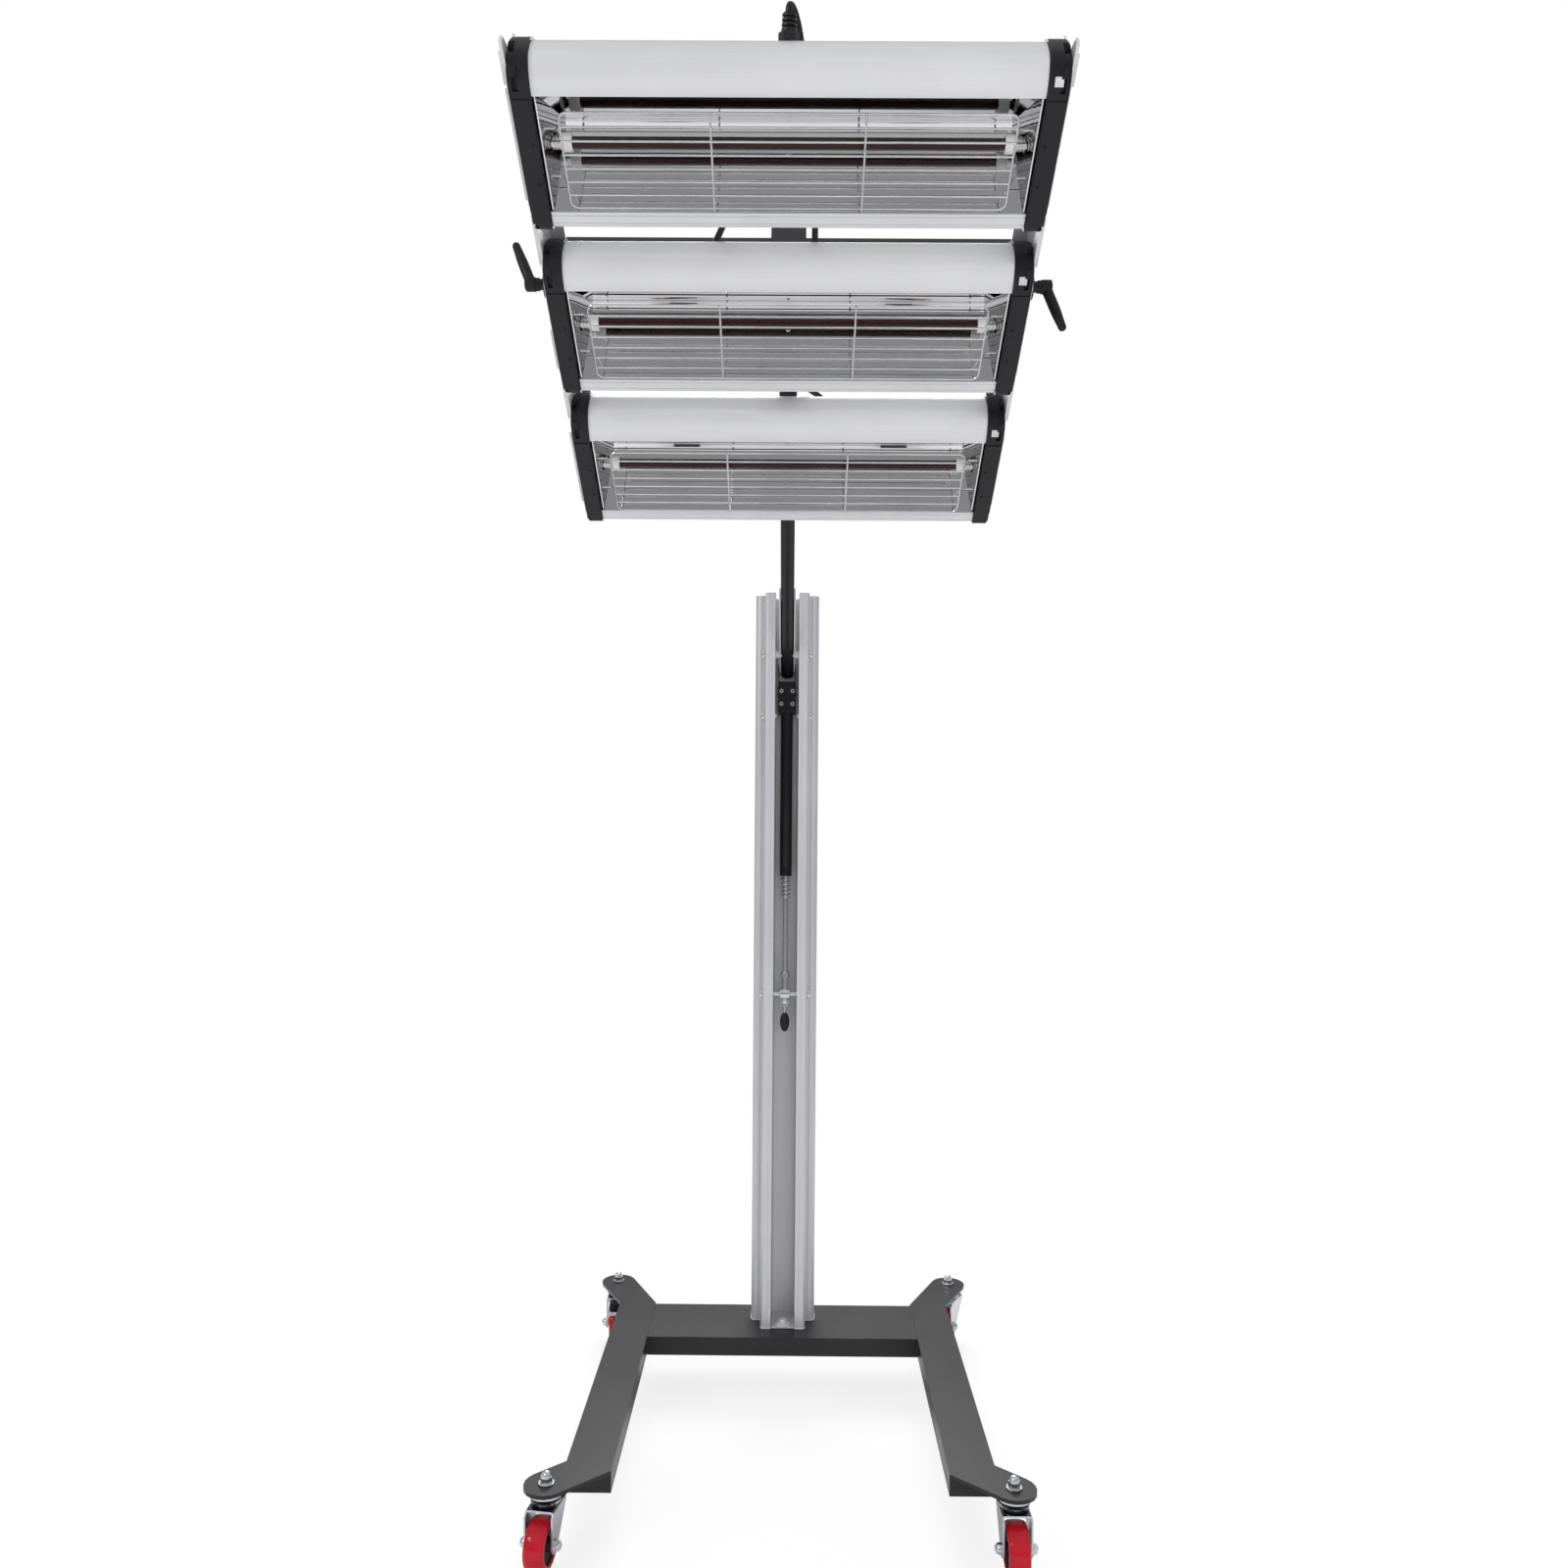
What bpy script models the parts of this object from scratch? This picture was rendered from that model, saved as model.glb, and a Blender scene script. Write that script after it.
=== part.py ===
# Infrared paint curing lamp on a wheeled stand: three lamps on a tilting head, a lifting arm with a
# locking strut, an aluminium column and an H-shaped base on four castors.
# Metres, +Z up, the lamps face -Y, the origin is on the floor at the middle of the footprint.
import math

import bpy
import bmesh
from mathutils import Matrix, Vector

# Clearances and small shared sizes
GAP = 0.0003
OVERRUN = 0.004
RUNNING = 0.00025

# Where the column axis stands behind the origin
COLUMN_SETBACK = 0.3255

# Base beams
BEAM_TOP = 0.095
BEAM_WIDTH = 0.060
BEAM_HEIGHT = 0.028
BEAM_WALL = 0.002
BEAM_SPREAD = 0.242
BEAM_FRONT = 0.4475
BEAM_BACK = 0.067
CROSS_BEAM_DEPTH = 0.126
CROSS_BEAM_HEIGHT = 0.0285
DRAIN_RADIUS = 0.004

# Castor tabs welded to the beam ends
TAB_THICKNESS = 0.005
TAB_RADIUS = 0.028
TAB_SETBACK = 0.022
TAB_TONGUE = 0.030
CASTOR_SPREAD = 0.2875
CASTOR_FRONT = 0.477
CASTOR_BACK = 0.159

# Castors
WHEEL_RADIUS = 0.0315
WHEEL_WIDTH = 0.0266
WHEEL_CROWN = 0.0025
WHEEL_DISH = 0.004
WHEEL_TREAD = 0.0075
HUB_RADIUS = 0.0105
HUB_WIDTH = 0.0304
CASTOR_TRAIL = 0.018
AXLE_RADIUS = 0.004
AXLE_HEAD_RADIUS = 0.0068
AXLE_HEAD_LENGTH = 0.0046
FORK_WIDTH = 0.0358
FORK_SHEET = 0.0022
FORK_TOP = 0.0740
FORK_FRONT = 0.0275
FORK_BACK = 0.0215
FORK_BOSS_RADIUS = 0.0100
LOWER_RACE_RADIUS = 0.0190
LOWER_RACE_HEIGHT = 0.0055
UPPER_RACE_RADIUS = 0.0215
UPPER_RACE_HEIGHT = 0.0060
KINGPIN_RADIUS = 0.0050
KINGPIN_HEAD_RADIUS = 0.0085
KINGPIN_HEAD_LENGTH = 0.0022
STEM_RADIUS = 0.0049
STEM_WASHER_RADIUS = 0.0100
STEM_WASHER_THICKNESS = 0.0016
CAP_NUT_RADIUS = 0.0078
CAP_NUT_HEIGHT = 0.0075
CAP_DOME_RADIUS = 0.0062
FRONT_LEFT_YAW = 9.0
FRONT_RIGHT_YAW = 0.0
BACK_LEFT_YAW = -4.0
BACK_RIGHT_YAW = 30.0

# Brake pedals of the two back castors
PEDAL_WIDTH = 0.0255
PEDAL_THICKNESS = 0.0020
PEDAL_REACH = 0.034
PEDAL_LIP = 0.007
PEDAL_PIVOT_FORWARD = 0.0225
PEDAL_PIVOT_BELOW = 0.0050
PEDAL_HUB_RADIUS = 0.0026
PEDAL_PIN_RADIUS = 0.0015
PEDAL_DROOP = 14.0

# Column extrusion
COLUMN_WIDTH = 0.102
COLUMN_BACK = 0.036
COLUMN_CORNER = 0.008
COLUMN_WALL = 0.004
FRONT_RIB_WIDTH = 0.070
FRONT_RIB_REACH = 0.032
FRONT_RIB_CORNER = 0.004
CHANNEL_WIDTH = 0.0374
GROOVE_WIDTH = 0.002
GROOVE_DEPTH = 0.001
GROOVE_OFFSET = 0.0395

# Column foot plate and its bolt
FOOT_PLATE_THICKNESS = 0.005
FOOT_PLATE_DEPTH = 0.060
FOOT_BOLT_RADIUS = 0.0105
FOOT_BOLT_HEIGHT = 0.0085
FOOT_WASHER_RADIUS = 0.0135
FOOT_WASHER_THICKNESS = 0.0020

# Cross pins of the column
PIN_OFFSET = 0.016
PIVOT_HEIGHT = 1.171
COLUMN_ABOVE_PIVOT = 0.097
STRUT_SPAN = 0.544
LOWER_PIN_HEIGHT = PIVOT_HEIGHT - STRUT_SPAN
PIVOT_PIN_RADIUS = 0.0050
LOWER_PIN_RADIUS = 0.0040
PIN_HEAD_LENGTH = 0.0050
PIN_HEAD_RADIUS = 0.0066

# Lifting arm
ARM_SLOPE = 38.2
ARM_TUBE_RADIUS = 0.0102
ARM_TUBE_WALL = 0.0020
ARM_TAIL = 0.0450
ARM_REACH = 0.665
STRUT_PIN_DISTANCE = 0.036
STRUT_PIN_RADIUS = 0.0030
SADDLE_SHEET = 0.0020
SADDLE_LENGTH = 0.130
SADDLE_CHEEK = 0.0185
SADDLE_BOSS_RADIUS = 0.0068
SADDLE_ROUND = 0.012

# Clamp block and crossbar at the arm's top
CROSSBAR_SIDE = 0.025
CROSSBAR_WALL = 0.0020
CLAMP_WIDTH = 0.041
CLAMP_SIDE = 0.044
CLAMP_EDGE = 0.003
SLEEVE_RADIUS = 0.0120
SLEEVE_LENGTH = 0.215
YOKE_ARM_SHEET = 0.004
YOKE_ARM_WIDTH = 0.028

# Strut
STRUT_CHEEK = 0.0017
STRUT_EAR_RADIUS = 0.0095
STRUT_BLOCK_TOP = 0.020
STRUT_BLOCK_LENGTH = 0.052
STRUT_BLOCK_DEPTH = 0.021
STRUT_SCREW_RADIUS = 0.0028
STRUT_SCREW_HEAD = 0.0013
STRUT_SCREW_SPREAD = 0.0090
STRUT_SCREW_PITCH = 0.021
STRUT_TUBE_RADIUS = 0.0096
STRUT_TUBE_WALL = 0.0020
STRUT_TUBE_LENGTH = 0.262
STRUT_ROD_RADIUS = 0.0040
STRUT_ROD_OVERLAP = 0.150
STRUT_EYE_RADIUS = 0.0095
STRUT_EYE_WIDTH = 0.0160
STRUT_COLLAR_RADIUS = 0.0072
STRUT_COLLAR_START = 0.026
STRUT_COLLAR_LENGTH = 0.009
SPRING_WIRE_RADIUS = 0.0010
SPRING_RADIUS = 0.0073
SPRING_TURNS = 5
SPRING_PITCH = 0.0068

# Release lever under the strut rod
LUG_WIDTH = 0.0060
LUG_DROP = 0.0140
LUG_RADIUS = 0.0040
LEVER_EAR_SHEET = 0.0018
LEVER_RIVET_RADIUS = 0.0014
LEVER_WIRE_RADIUS = 0.0017
GRIP_RADIUS = 0.0075
GRIP_LENGTH = 0.0310
GRIP_DROP = 0.0160

# Lamp head
HEAD_PITCH_ANGLE = 32.6
LAMP_PITCH = 0.209
TILT_BACK_OF_EDGE = 0.0188
TILT_BEHIND_FACE = 0.0393
TILT_ALONG_ARM = 0.677
TILT_BELOW_ARM = 0.0937
LAMP_LENGTH = 0.490
OPENING = 0.117
TOP_REACH = 0.0315
RIM_DEPTH = 0.024
SHOULDER_DEPTH = 0.030
BACK_START = 0.010
BACK_END = 0.095
LOW_REACH = 0.135
LOW_SHOULDER_DEPTH = 0.035
LIP_CORNER = 0.005
LAMP_DEPTH = 0.075
SHELL = 0.0022
BACK_RIB_COUNT = 5
BACK_RIB_WIDTH = 0.005
BACK_RIB_HEIGHT = 0.0025

# Lamp end caps
CAP_THICKNESS = 0.0212
CAP_PROUD = 0.0025
CAP_ROUND = 0.0070
VENT_COUNT = 4
VENT_LENGTH = 0.0078
VENT_DEPTH = 0.0055
VENT_REACH = 0.0075
VENT_START = -128.0
VENT_STEP = 20.0
LONG_VENT_ANGLE = -104.0
LONG_VENT_LENGTH = 0.013
LEVER_BORE_DEPTH = 0.010

# Reflector, heater and guard
REFLECTOR_SHEET = 0.0012
REFLECTOR_DEPTH = 0.0600
REFLECTOR_OVERLAP = 0.0025
REFLECTOR_RIM = 0.0028
REFLECTOR_INSET = 0.0010
REFLECTOR_END = LAMP_LENGTH / 2 - REFLECTOR_INSET
REFLECTOR_FLARE = 0.0155
REFLECTOR_BACK = 0.0100
REFLECTOR_BEND = 0.0035
BEND_SHARES = (0, 0.25, 0.5, 0.75, 1)
HEATER_DEPTH = 0.026
HEATER_RADIUS = 0.0058
CERAMIC_LENGTH = 0.0281
CERAMIC_RADIUS = 0.0089
CERAMIC_INSET = 0.0004
CERAMIC_END = LAMP_LENGTH / 2 - CERAMIC_INSET
GUARD_WIRE_RADIUS = 0.0011
GUARD_INSET = 0.024
GUARD_HALF_LENGTH = LAMP_LENGTH / 2 - GUARD_INSET
GUARD_EDGE = 0.0105
GUARD_CORNER = 0.008
GUARD_LONG_WIRES = 6
GUARD_CROSS_PLACE = 0.075
GUARD_PROUD = 0.0085
GUARD_LEG_DEPTH = 0.008
GUARD_LEG_RUN = 0.006
GUARD_LEG_SHARES = (0.25, 0.75)
GUARD_WELD = 0.0004

# Side rails of the head
RAIL_SHEET = 0.0030
RAIL_FLANGE = 0.0170
RAIL_BACK = 0.0810
RAIL_NECK = 0.0500
RAIL_LOBE = 0.0340
RAIL_LOBE_START = 0.003
RAIL_LOBE_END = 0.115
RAIL_TOP = 0.0180
RAIL_BOTTOM = 0.1180
RAIL_CHAMFER = 0.008

# Clamp levers
STUD_RADIUS = 0.0040
LEVER_HUB_RADIUS = 0.0078
LEVER_HUB_LENGTH = 0.0215
LEVER_LENGTH = 0.054
LEVER_ROOT_RADIUS = 0.0062
LEVER_TIP_RADIUS = 0.0046
LEVER_SPLAY = 22.0
LEFT_LEVER_ANGLE = 115.0
RIGHT_LEVER_ANGLE = -60.0

# Gland and leads
GLAND_ANGLE = 45.0
GLAND_FLANGE_RADIUS = 0.0115
GLAND_FLANGE_LENGTH = 0.009
GLAND_BODY_RADIUS = 0.0062
GLAND_BODY_LENGTH = 0.017
GLAND_RIB_COUNT = 5
GLAND_RIB_DEPTH = 0.0011
LEAD_RADIUS = 0.0033
LEAD_BOSS_RADIUS = 0.0070
LEAD_BOSS_HEIGHT = 0.0050
LEAD_STUB = 0.003

# Courses of the leads behind the lamps, in the frame of the lamp they start on
TOP_LEAD_POINTS = [
    (0.001, -0.0425, 0.0915), (0.004, -0.0370, 0.1005), (0.009, -0.0240, 0.1045), (0.015, -0.0080, 0.1010),
    (0.020, 0.0120, 0.0935), (0.0245, 0.0400, 0.0870), (0.0270, 0.0800, 0.0855), (0.0285, 0.1300, 0.0850),
    (0.0295, 0.1850, 0.0860), (0.0300, 0.2200, 0.0930), (0.0300, 0.2360, 0.0945)]
TOP_LEAD_END = (0.0300, 0.2450)
LEFT_LEAD_START = (-0.0640, 0.0800)
LEFT_LEAD_POINTS = [
    (-0.0642, 0.0880, 0.0930), (-0.0648, 0.1050, 0.0925), (-0.0655, 0.1300, 0.0880), (-0.0670, 0.1600, 0.0870),
    (-0.0730, 0.1850, 0.0885), (-0.0845, 0.2130, 0.0925), (-0.0878, 0.2260, 0.0940), (-0.0880, 0.2370, 0.0940)]
LEFT_LEAD_END = (-0.0880, 0.2450)
LOWER_LEAD_START = (0.0300, 0.0750)
LOWER_LEAD_POINTS = [
    (0.0294, 0.0830, 0.0930), (0.0260, 0.1000, 0.0925), (0.0160, 0.1250, 0.0880), (0.0085, 0.1520, 0.0860),
    (0.0110, 0.1750, 0.0865), (0.0240, 0.1970, 0.0885), (0.0410, 0.2150, 0.0920), (0.0490, 0.2280, 0.0940),
    (0.0500, 0.2370, 0.0940)]
LOWER_LEAD_END = (0.0500, 0.2450)

# Roundness, as counts of sides
ROUND_FINE = 20
ROUND = 12
ROUND_WIRE = 5
ARC_STEPS = 5


# Materials

def make_material(name, colour, metallic, roughness):
    material = bpy.data.materials.new(name)
    material.use_nodes = True
    shader = material.node_tree.nodes["Principled BSDF"]
    shader.inputs["Base Color"].default_value = (*colour, 1.0)
    shader.inputs["Metallic"].default_value = metallic
    shader.inputs["Roughness"].default_value = roughness
    return material


def make_materials():
    return {
        "black_steel": make_material("black_steel", (0.035, 0.035, 0.038), 0.0, 0.45),
        "column_aluminium": make_material("column_aluminium", (0.62, 0.62, 0.64), 1.0, 0.38),
        "zinc": make_material("zinc", (0.66, 0.67, 0.68), 1.0, 0.30),
        "wheel_red": make_material("wheel_red", (0.48, 0.02, 0.035), 0.0, 0.35),
        "black_plastic": make_material("black_plastic", (0.018, 0.018, 0.020), 0.0, 0.50),
        "lamp_aluminium": make_material("lamp_aluminium", (0.72, 0.72, 0.74), 1.0, 0.42),
        "mirror": make_material("mirror", (0.90, 0.90, 0.90), 1.0, 0.05),
        "chrome": make_material("chrome", (0.80, 0.80, 0.82), 1.0, 0.12),
        "heater_glass": make_material("heater_glass", (0.06, 0.008, 0.008), 0.0, 0.10),
        "rubber": make_material("rubber", (0.015, 0.015, 0.016), 0.0, 0.60),
    }


# Shapes

def object_from(bm):
    bmesh.ops.recalc_face_normals(bm, faces=bm.faces)
    mesh = bpy.data.meshes.new("shape")
    bm.to_mesh(mesh)
    bm.free()
    piece = bpy.data.objects.new("shape", mesh)
    bpy.context.scene.collection.objects.link(piece)
    return piece


def extruded(corners, travel):
    bm = bmesh.new()
    face = bm.faces.new([bm.verts.new(corner) for corner in corners])
    moved = bmesh.ops.extrude_face_region(bm, geom=[face])["geom"]
    bmesh.ops.translate(bm, vec=travel, verts=[item for item in moved if isinstance(item, bmesh.types.BMVert)])
    return object_from(bm)


def side_prism(outline, x_low, x_high):
    return extruded([(x_low, y, z) for y, z in outline], (x_high - x_low, 0, 0))


def flat_prism(outline, z_low, z_high):
    return extruded([(x, y, z_low) for x, y in outline], (0, 0, z_high - z_low))


def block(x_low, x_high, y_low, y_high, z_low, z_high):
    return flat_prism([(x_low, y_low), (x_high, y_low), (x_high, y_high), (x_low, y_high)], z_low, z_high)


def turned(profile, sides=ROUND):
    # A closed turned solid about Z: the profile holds (radius, height) and its ends lie on the axis
    bm = bmesh.new()
    rings = []
    for radius, height in profile:
        if radius == 0:
            rings.append([bm.verts.new((0, 0, height))])
            continue
        turn = [math.tau * step / sides for step in range(sides)]
        rings.append([bm.verts.new((radius * math.cos(a), radius * math.sin(a), height)) for a in turn])
    for lower, upper in zip(rings, rings[1:]):
        for step in range(sides):
            after = (step + 1) % sides
            if len(lower) == 1:
                bm.faces.new((lower[0], upper[step], upper[after]))
            elif len(upper) == 1:
                bm.faces.new((lower[step], lower[after], upper[0]))
            else:
                bm.faces.new((lower[step], lower[after], upper[after], upper[step]))
    return object_from(bm)


def turned_ring(profile, sides=ROUND):
    # A turned solid with a bore: the closed profile stays clear of the axis
    bm = bmesh.new()
    rings = []
    for step in range(sides):
        turn = math.tau * step / sides
        rings.append([bm.verts.new((r * math.cos(turn), r * math.sin(turn), h)) for r, h in profile])
    count = len(profile)
    for step in range(sides):
        here, there = rings[step], rings[(step + 1) % sides]
        for place in range(count):
            after = (place + 1) % count
            bm.faces.new((here[place], here[after], there[after], there[place]))
    return object_from(bm)


def rod(radius, low, high, sides=ROUND):
    return turned([(0, low), (radius, low), (radius, high), (0, high)], sides)


def lofted(sections):
    # Closed solid through matching closed sections, with flat ends
    bm = bmesh.new()
    rings = [[bm.verts.new(point) for point in section] for section in sections]
    for here, there in zip(rings, rings[1:]):
        for place in range(len(here)):
            after = (place + 1) % len(here)
            bm.faces.new((here[place], here[after], there[after], there[place]))
    bm.faces.new(rings[0])
    bm.faces.new(rings[-1])
    return object_from(bm)


def swept(points, radius, sides=ROUND_WIRE, closed=False):
    # Round wire along a path, its frame carried from point to point without twist
    path = [Vector(point) for point in points]
    count = len(path)
    normal = None
    sections = []
    for place in range(count):
        before = path[place - 1] if closed or place > 0 else path[place]
        after = path[(place + 1) % count] if closed or place < count - 1 else path[place]
        along = (after - before).normalized()
        if normal is None:
            normal = along.orthogonal().normalized()
        normal = (normal - along * normal.dot(along)).normalized()
        side = along.cross(normal)
        turn = [math.tau * step / sides for step in range(sides)]
        sections.append([path[place] + radius * (normal * math.cos(a) + side * math.sin(a)) for a in turn])
    if not closed:
        return lofted(sections)
    bm = bmesh.new()
    rings = [[bm.verts.new(point) for point in section] for section in sections]
    for place in range(count):
        here, there = rings[place], rings[(place + 1) % count]
        shift = 0
        if place == count - 1:
            shift = min(range(sides), key=lambda s: (here[0].co - there[s].co).length)
        for step in range(sides):
            after = (step + 1) % sides
            bm.faces.new((here[step], here[after], there[(after + shift) % sides], there[(step + shift) % sides]))
    return object_from(bm)


def arc(centre, radii, start, end, steps=ARC_STEPS):
    # Points of an elliptic arc in a plane, angles in degrees
    turns = [math.radians(start + (end - start) * step / steps) for step in range(steps + 1)]
    return [(centre[0] + radii[0] * math.cos(a), centre[1] + radii[1] * math.sin(a)) for a in turns]


def moved(piece, shift=(0, 0, 0), turn=0.0, axis="X"):
    piece.data.transform(Matrix.Translation(shift) @ Matrix.Rotation(math.radians(turn), 4, axis))
    return piece


def along_x(piece):
    return moved(piece, turn=90.0, axis="Y")


def joined(pieces):
    # Several loose shapes in one object, to be used together in a union or a cut
    bm = bmesh.new()
    for piece in pieces:
        bm.from_mesh(piece.data)
        bpy.data.objects.remove(piece)
    return object_from(bm)


def combined(piece, others, operation):
    for other in others:
        modifier = piece.modifiers.new(operation, "BOOLEAN")
        modifier.operation = operation
        modifier.object = other
    graph = bpy.context.evaluated_depsgraph_get()
    mesh = bpy.data.meshes.new_from_object(piece.evaluated_get(graph))
    piece.modifiers.clear()
    piece.data = mesh
    for other in others:
        bpy.data.objects.remove(other)
    return piece


def fused(piece, *others):
    return combined(piece, others, "UNION")


def cut(piece, *others):
    return combined(piece, others, "DIFFERENCE")


def finished(piece, name, material, parent, smooth=True):
    piece.name = name
    piece.data.name = name
    piece.data.materials.clear()
    piece.data.materials.append(material)
    piece.parent = parent
    if smooth:
        piece.data.shade_smooth()
        piece.data.set_sharp_from_angle(angle=math.radians(35.0))
    return piece


def frame_at(name, parent, location, turn_x=0.0, turn_z=0.0):
    empty = bpy.data.objects.new(name, None)
    bpy.context.scene.collection.objects.link(empty)
    empty.location = location
    empty.rotation_euler = (math.radians(turn_x), 0, math.radians(turn_z))
    empty.parent = parent
    return empty


# Base

def tab_outline(side, castor_y, outer_corner, inner_corner):
    # A rounded tongue whose two edges run tangent from the beam to the circle round the castor stem
    centre = Vector((side * CASTOR_SPREAD, castor_y))

    def touch(corner, hand):
        away = Vector(corner) - centre
        swing = hand * math.acos(TAB_RADIUS / away.length)
        return math.atan2(away.y, away.x) + swing

    hand = -side if castor_y < 0 else side
    start = touch(outer_corner, hand)
    end = touch(inner_corner, -hand)
    if hand > 0:
        while end < start:
            end += math.tau
    else:
        while end > start:
            end -= math.tau
    round_end = arc(centre, (TAB_RADIUS, TAB_RADIUS), math.degrees(start), math.degrees(end), 2 * ARC_STEPS)
    inward = TAB_TONGUE if castor_y < 0 else -TAB_TONGUE
    step_in = -side * BEAM_WALL
    return ([outer_corner] + round_end + [inner_corner]
            + [(inner_corner[0] - step_in, inner_corner[1] + inward),
               (outer_corner[0] + step_in, inner_corner[1] + inward)])


def make_beam(side, name, material, stand):
    outer = side * (BEAM_SPREAD + BEAM_WIDTH / 2)
    inner = side * (BEAM_SPREAD - BEAM_WIDTH / 2)
    low, high = min(outer, inner), max(outer, inner)
    bottom = BEAM_TOP - BEAM_HEIGHT
    beam = block(low, high, -BEAM_FRONT, BEAM_BACK, bottom, BEAM_TOP)
    tab_bottom = BEAM_TOP - TAB_THICKNESS
    front = tab_outline(side, -CASTOR_FRONT, (outer, TAB_SETBACK - BEAM_FRONT), (inner, -BEAM_FRONT))
    back = tab_outline(side, CASTOR_BACK, (outer, BEAM_BACK), (inner, BEAM_BACK))
    beam = fused(beam, flat_prism(front, tab_bottom, BEAM_TOP), flat_prism(back, tab_bottom, BEAM_TOP))
    hollow = block(low + BEAM_WALL, high - BEAM_WALL, BEAM_WALL - BEAM_FRONT, BEAM_BACK - BEAM_WALL,
                   bottom + BEAM_WALL, BEAM_TOP - BEAM_WALL)
    drain = moved(rod(DRAIN_RADIUS, -BEAM_HEIGHT / 4, BEAM_HEIGHT / 4), (side * BEAM_SPREAD, 0, bottom))
    holes = [moved(rod(STEM_RADIUS + GAP, tab_bottom - OVERRUN, BEAM_TOP + OVERRUN), (side * CASTOR_SPREAD, y, 0))
             for y in (-CASTOR_FRONT, CASTOR_BACK)]
    beam = cut(beam, hollow, drain, *holes)
    return finished(beam, name, material, stand, smooth=False)


def make_cross_beam(material, stand):
    half = BEAM_SPREAD - BEAM_WIDTH / 2 - GAP
    bottom = BEAM_TOP - CROSS_BEAM_HEIGHT
    beam = block(-half, half, -CROSS_BEAM_DEPTH / 2, CROSS_BEAM_DEPTH / 2, bottom, BEAM_TOP)
    hollow = block(-half - OVERRUN, half + OVERRUN, BEAM_WALL - CROSS_BEAM_DEPTH / 2,
                   CROSS_BEAM_DEPTH / 2 - BEAM_WALL, bottom + BEAM_WALL, BEAM_TOP - BEAM_WALL)
    return finished(cut(beam, hollow), "cross_beam", material, stand, smooth=False)


# Castors

def make_stem(name, material, frame):
    # Cap nut, washer, stem, upper race and kingpin on the swivel axis
    washer_low = BEAM_TOP + GAP
    nut_low = washer_low + STEM_WASHER_THICKNESS
    nut_high = nut_low + CAP_NUT_HEIGHT
    race_high = BEAM_TOP - TAB_THICKNESS - GAP
    race_low = race_high - UPPER_RACE_HEIGHT
    pin_low = FORK_TOP - FORK_SHEET - GAP
    head_low = pin_low - KINGPIN_HEAD_LENGTH
    dome = arc((0, nut_high), (CAP_DOME_RADIUS, CAP_DOME_RADIUS), 90.0, 0.0, 3)[1:]
    profile = [(0, nut_high + CAP_DOME_RADIUS)] + dome
    profile += [(CAP_NUT_RADIUS, nut_high), (CAP_NUT_RADIUS, nut_low)]
    profile += [(STEM_WASHER_RADIUS, nut_low), (STEM_WASHER_RADIUS, washer_low), (STEM_RADIUS, washer_low)]
    profile += [(STEM_RADIUS, race_high), (UPPER_RACE_RADIUS, race_high)]
    profile += [(UPPER_RACE_RADIUS, race_low), (KINGPIN_RADIUS, race_low)]
    profile += [(KINGPIN_RADIUS, pin_low), (KINGPIN_HEAD_RADIUS, pin_low)]
    profile += [(KINGPIN_HEAD_RADIUS, head_low), (0, head_low)]
    return finished(turned(profile), name, material, frame)


def cheek_outline():
    # Side view of a fork cheek: straight front, round boss at the axle, slanting back edge
    boss = arc((-CASTOR_TRAIL, WHEEL_RADIUS), (FORK_BOSS_RADIUS, FORK_BOSS_RADIUS), 180.0, 325.0, ARC_STEPS)
    front = -CASTOR_TRAIL - FORK_BOSS_RADIUS
    return ([(front, FORK_TOP - FORK_SHEET), (-FORK_FRONT, FORK_TOP), (FORK_BACK, FORK_TOP),
             (FORK_BACK, FORK_TOP - 2 * FORK_SHEET)] + boss[::-1])


def make_fork(name, material, frame, braked):
    half = FORK_WIDTH / 2
    cheek = cheek_outline()
    crown = block(-half, half, -FORK_FRONT, FORK_BACK, FORK_TOP - FORK_SHEET, FORK_TOP)
    race_top = FORK_TOP + LOWER_RACE_HEIGHT
    race = rod(LOWER_RACE_RADIUS, FORK_TOP - FORK_SHEET / 2, race_top)
    left = side_prism(cheek, -half, FORK_SHEET - half)
    right = side_prism(cheek, half - FORK_SHEET, half)
    reach = half + AXLE_HEAD_LENGTH
    axle = turned([(0, -reach), (AXLE_HEAD_RADIUS, -reach), (AXLE_HEAD_RADIUS, FORK_SHEET / 2 - half),
                   (AXLE_RADIUS, FORK_SHEET / 2 - half), (AXLE_RADIUS, half - FORK_SHEET / 2),
                   (AXLE_HEAD_RADIUS, half - FORK_SHEET / 2), (AXLE_HEAD_RADIUS, reach), (0, reach)])
    axle = moved(along_x(axle), (0, -CASTOR_TRAIL, WHEEL_RADIUS))
    fork = fused(crown, left, right, race, axle)
    cutters = [rod(KINGPIN_RADIUS + GAP, FORK_TOP - 2 * FORK_SHEET, race_top + OVERRUN)]
    if braked:
        pin = along_x(rod(PEDAL_PIN_RADIUS + GAP, -half - OVERRUN, half + OVERRUN, ROUND // 2))
        cutters.append(moved(pin, (0, -PEDAL_PIVOT_FORWARD, FORK_TOP - PEDAL_PIVOT_BELOW)))
    return finished(cut(fork, *cutters), name, material, frame)


def make_wheel(name, material, frame):
    # Crowned tread on a dished wheel body with a long hub, turned about the axle
    half = WHEEL_WIDTH / 2
    web = half - WHEEL_DISH
    hub = HUB_WIDTH / 2
    bore = AXLE_RADIUS + RUNNING
    rim = WHEEL_RADIUS - WHEEL_TREAD
    right = [(bore, hub), (HUB_RADIUS, hub), (HUB_RADIUS, web), (rim, web), (rim, half),
             (WHEEL_RADIUS - WHEEL_CROWN, half), (WHEEL_RADIUS, half - WHEEL_CROWN)]
    profile = right + [(radius, -place) for radius, place in right[::-1]]
    return finished(along_x(turned_ring(profile, ROUND_FINE)), name, material, frame)


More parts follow.
